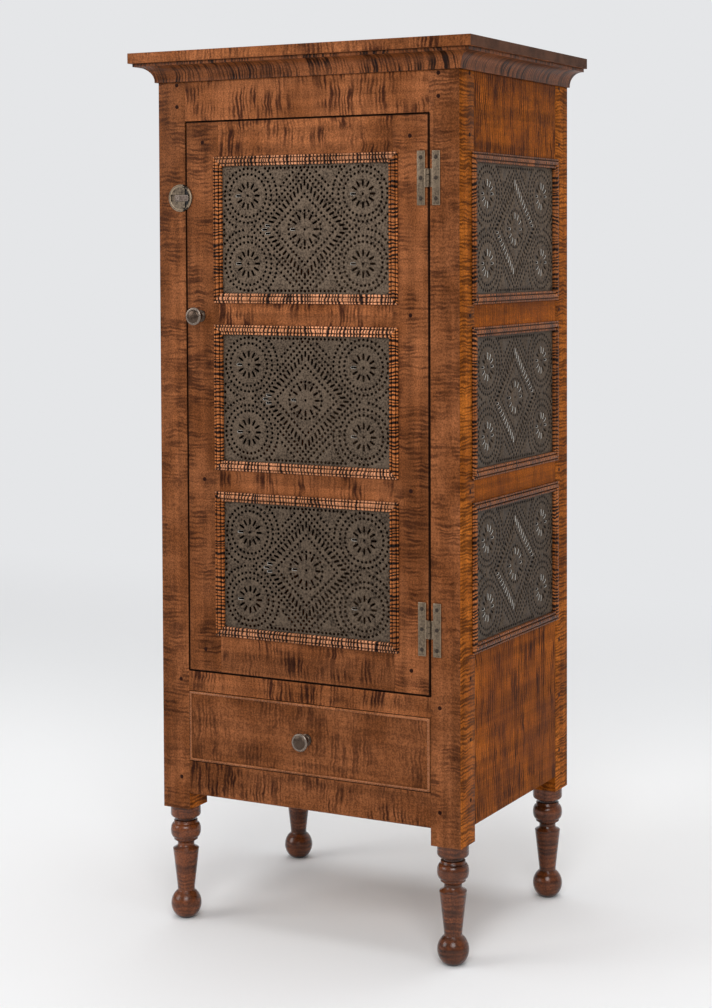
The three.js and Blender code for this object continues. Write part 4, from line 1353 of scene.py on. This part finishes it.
def hinge_leaf(level, owner, side, pin):
    """A leaf of an H hinge, on the side of the pin that its owner is on, with its screws"""
    node = f"hinge_{level}_{owner}_leaf"
    low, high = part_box(node)
    middle = middle_of(node).z
    front = high.y - STRAP_THICKNESS * MM
    strap, neck = (sorted(pin.x + side * reach * MM for reach in part) for part in (STRAP, NECK))
    foot, head = middle - NECK_REACH * MM, middle + NECK_REACH * MM
    work = bmesh.new()
    add_box(work, (strap[0], front, low.z), (strap[1], high.y, high.z))
    add_box(work, (neck[0], front + 0.05 * MM, foot), (neck[1], high.y, head))
    ease(work, 0.6 * MM)
    for at in KNUCKLE_PLACES[owner]:
        place = Matrix.Translation((pin.x, pin.y, middle + at * MM))
        lathe(work, in_metres(KNUCKLE), KNUCKLE_SIDES, place)
    cast = set(work.faces)
    for at in SCREW_PLACES:
        place = Matrix.Translation((sum(strap) / 2, front, middle + at * MM)) @ OUT_OF_FRONT
        add_screw(work, place, at * 0.11 + side)
    for face in set(work.faces) - cast:
        face.material_index = 1
    mesh = mesh_from(work, node, smooth_under=35)
    grain_along(mesh, "z")
    node_piece(node, "cast", mesh, "pewter", ("pewter", "screw"))


class PIESAFE_OT_hinges(bpy.types.Operator):
    """Adds the two hinges and their screws"""

    bl_idname = "pie_safe.add_hinges"
    bl_label = "Hinges"

    def execute(self, context):
        swing = next(joint for joint in frame["joints"] if joint["name"] == "door_swing")
        for level in ("upper", "lower"):
            for owner, side in (("post", 1), ("door", -1)):
                hinge_leaf(level, owner, side, Vector(swing["pos_m"]))
        return {"FINISHED"}


class PIESAFE_OT_latch(bpy.types.Operator):
    """Adds the round latch: its plate, keeper and bolt"""

    bl_idname = "pie_safe.add_latch"
    bl_label = "Latch"

    def execute(self, context):
        plate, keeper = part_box("latch_plate")[1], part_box("latch_keeper")[0]
        seams = {"latch_plate": plate.x, "latch_keeper": keeper.x}
        for node in ("latch_plate", "latch_keeper", "latch_bolt"):
            work = node_copy(node)
            if node in seams:

                def along_the_seam(one, other):
                    on_seam = all(abs(at.x - seams[node]) < CLOSE for at in (one, other))
                    return on_seam and abs(one.y - other.y) < CLOSE

                # The edges along the seam between plate and keeper are painted dark: a painted
                # shade in the seam
                seam = sharp(edges_where(work, along_the_seam), NEARLY_SQUARE)
                round_over(work, seam, 1.4 * MM, 4, GAP_SHADE)
            ease(work, 0.45 * MM)
            mesh = mesh_from(work, node, smooth_under=30)
            grain_along(mesh, "z")
            node_piece(node, "cast", mesh, "pewter", ["sand_cast" if node in seams else "bolt"])
        return {"FINISHED"}


# Heights of the pegs above the floor, and how far in from the edge they lie, in millimetres
POST_PEGS = (1442.3, 1405.6, 423.8, 253.7)
DOOR_PEGS = (1343.9, 1055.7, 771.8, 479.9)
SIDE_PEGS = (1443.3, 1344.9, 1055.5, 771.4, 468.5, 368.7, 269.9)
POST_INSET, SIDE_FRONT_INSET, DOOR_INSET = 37 * MM, 38 * MM, 33 * MM


def peg_field(name, body, places):
    """The crowned ends of pegs: each place and the turn of its face about Z"""
    sizes = timber_sizes()
    radius, proud, sunk = sizes.peg_radius, sizes.peg_proud, -1 * MM
    profile = [(0, sunk), (radius, sunk), (radius, proud * 0.2), (radius * 0.6, proud), (0, proud)]
    work = bmesh.new()
    work.verts.layers.float.new("arris")
    for place, turn in places:
        matrix = Matrix.Translation(place) @ Matrix.Rotation(turn, 4, "Z") @ OUT_OF_FRONT
        lathe(work, profile, PEG_SIDES, matrix)
    mesh = mesh_from(work, name, smooth_under=40)
    grain_along(mesh, "y")
    piece(name, mesh, "front_maple", body, uses=["peg"])


class PIESAFE_OT_pegs(bpy.types.Operator):
    """Adds the pegs that pin the joints"""

    bl_idname = "pie_safe.add_pegs"
    bl_label = "Pegs"

    def execute(self, context):
        left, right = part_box("post_front_left")[0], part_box("post_back_right")[1]
        case_pegs = []
        for height in POST_PEGS:
            for x in (left.x + POST_INSET, right.x - POST_INSET):
                case_pegs.append((Vector((x, left.y, height * MM)), 0.0))
        for height in SIDE_PEGS:
            for y in (left.y + SIDE_FRONT_INSET, right.y - POST_INSET):
                case_pegs.append((Vector((left.x, y, height * MM)), -math.pi / 2))
                case_pegs.append((Vector((right.x, y, height * MM)), math.pi / 2))
        peg_field("case_pegs", "case", case_pegs)
        low, high = door_corners()
        door_pegs = [
            (Vector((x, low.y, height * MM)), 0.0)
            for height in DOOR_PEGS
            for x in (low.x + DOOR_INSET, high.x - DOOR_INSET)
        ]
        peg_field("door_pegs", "door", door_pegs)
        return {"FINISHED"}


# --- Stage ---


def soft_light(name, place, target, size, power):
    """A square lamp that looks at a target"""
    lamp = bpy.data.lights.new(name, "AREA")
    lamp.shape = "RECTANGLE"
    lamp.size = lamp.size_y = size
    lamp.energy = power
    made = add_object(name, lamp)
    made.location = place
    made.rotation_euler = (Vector(target) - Vector(place)).to_track_quat("-Z", "Y").to_euler()


def add_camera(stage):
    """A camera at the photograph's angle, turned by yaw, pitch and roll"""
    yaw, pitch, roll = stage.yaw, stage.pitch, stage.roll
    ahead = Vector(
        (-math.sin(yaw) * math.cos(pitch), math.cos(yaw) * math.cos(pitch), -math.sin(pitch))
    )
    level = Vector((math.cos(yaw), math.sin(yaw), 0))
    above = level.cross(ahead)
    right = math.cos(roll) * level + math.sin(roll) * above
    up = -math.sin(roll) * level + math.cos(roll) * above
    lens = bpy.data.cameras.new("Camera")
    lens.lens = stage.lens
    lens.sensor_width = 36
    lens.shift_x, lens.shift_y = stage.shift
    lens.clip_end = 50
    camera = add_object("Camera", lens)
    turn = Matrix((right, up, -ahead)).transposed().to_4x4()
    camera.matrix_world = Matrix.Translation(stage.camera_place) @ turn
    bpy.context.scene.camera = camera


def add_floor(stage):
    """A floor that curves up into the backdrop behind the cupboard"""
    outline = [(-9, 0), (4, 0), *arc((4, 2), (2, 2), (-90, 0), 16)[1:], (6, 9)]
    work = bmesh.new()
    rows = [[work.verts.new((x, y, z)) for x in (-12, 12)] for y, z in outline]
    for near, far in zip(rows, rows[1:]):
        work.faces.new((near[0], near[1], far[1], far[0]))
    mesh = bpy.data.meshes.new("Floor")
    work.to_mesh(mesh)
    work.free()
    mesh.shade_smooth()
    mesh.materials.append(stage_paint("floor_paint", stage.floor_colour, stage.wall_colour))
    add_object("Floor", mesh)


class PIESAFE_OT_stage(bpy.types.Operator):
    """Adds the floor, the studio light and the camera at the photograph's angle"""

    bl_idname = "pie_safe.add_stage"
    bl_label = "Stage, light and camera"

    def execute(self, context):
        stage = context.scene.pie_safe_stage
        context.scene.view_settings.view_transform = "Standard"
        world = bpy.data.worlds.new("Studio")
        world.use_nodes = True
        sky = world.node_tree.nodes["Background"]
        sky.inputs["Color"].default_value = stage.sky_colour
        sky.inputs["Strength"].default_value = stage.sky_strength
        context.scene.world = world
        add_camera(stage)
        add_floor(stage)
        soft_light("Key light", (2.2, -4.2, 3.4), (0, 0, 0.7), 2.6, 140)
        soft_light("Fill light", (-3.6, -3.4, 2.4), (0, 0, 0.7), 2.4, 70)
        soft_light("Top light", (0, 0.4, 4.4), (0, 0, 0), 3.5, 90)
        return {"FINISHED"}


# --- Panel and registration ---

OPERATORS = (
    PIESAFE_OT_stage,
    PIESAFE_OT_posts,
    PIESAFE_OT_rails,
    PIESAFE_OT_top,
    PIESAFE_OT_inside,
    PIESAFE_OT_door,
    PIESAFE_OT_drawer,
    PIESAFE_OT_tins,
    PIESAFE_OT_tin_frames,
    PIESAFE_OT_knobs,
    PIESAFE_OT_hinges,
    PIESAFE_OT_latch,
    PIESAFE_OT_pegs,
)
SETTINGS = {
    "pie_safe_timber": TimberSizes,
    "pie_safe_tins": TinSizes,
    "pie_safe_finishes": Finishes,
    "pie_safe_stage": StageSettings,
}


class PIESAFE_PT_pieces(bpy.types.Panel):
    """Lists the pie safe's settings and its pieces"""

    bl_label = "Pie Safe"
    bl_space_type = "VIEW_3D"
    bl_region_type = "UI"
    bl_category = "Pie Safe"

    def draw(self, context):
        for name, group in SETTINGS.items():
            box = self.layout.box()
            settings = getattr(context.scene, name)
            for field in group.__annotations__:
                box.prop(settings, field)
        for operator in OPERATORS:
            self.layout.operator(operator.bl_idname)


CLASSES = (*SETTINGS.values(), *OPERATORS, PIESAFE_PT_pieces)


def register():
    for cls in CLASSES:
        bpy.utils.register_class(cls)
    for name, group in SETTINGS.items():
        setattr(bpy.types.Scene, name, PointerProperty(type=group))


def unregister():
    for name in SETTINGS:
        delattr(bpy.types.Scene, name)
    for cls in reversed(CLASSES):
        bpy.utils.unregister_class(cls)


def main():
    """Builds everything in order"""
    register()
    for operator in OPERATORS:
        group, name = operator.bl_idname.split(".")
        getattr(getattr(bpy.ops, group), name)()
    bpy.context.view_layer.update()


if __name__ == "__main__":
    main()
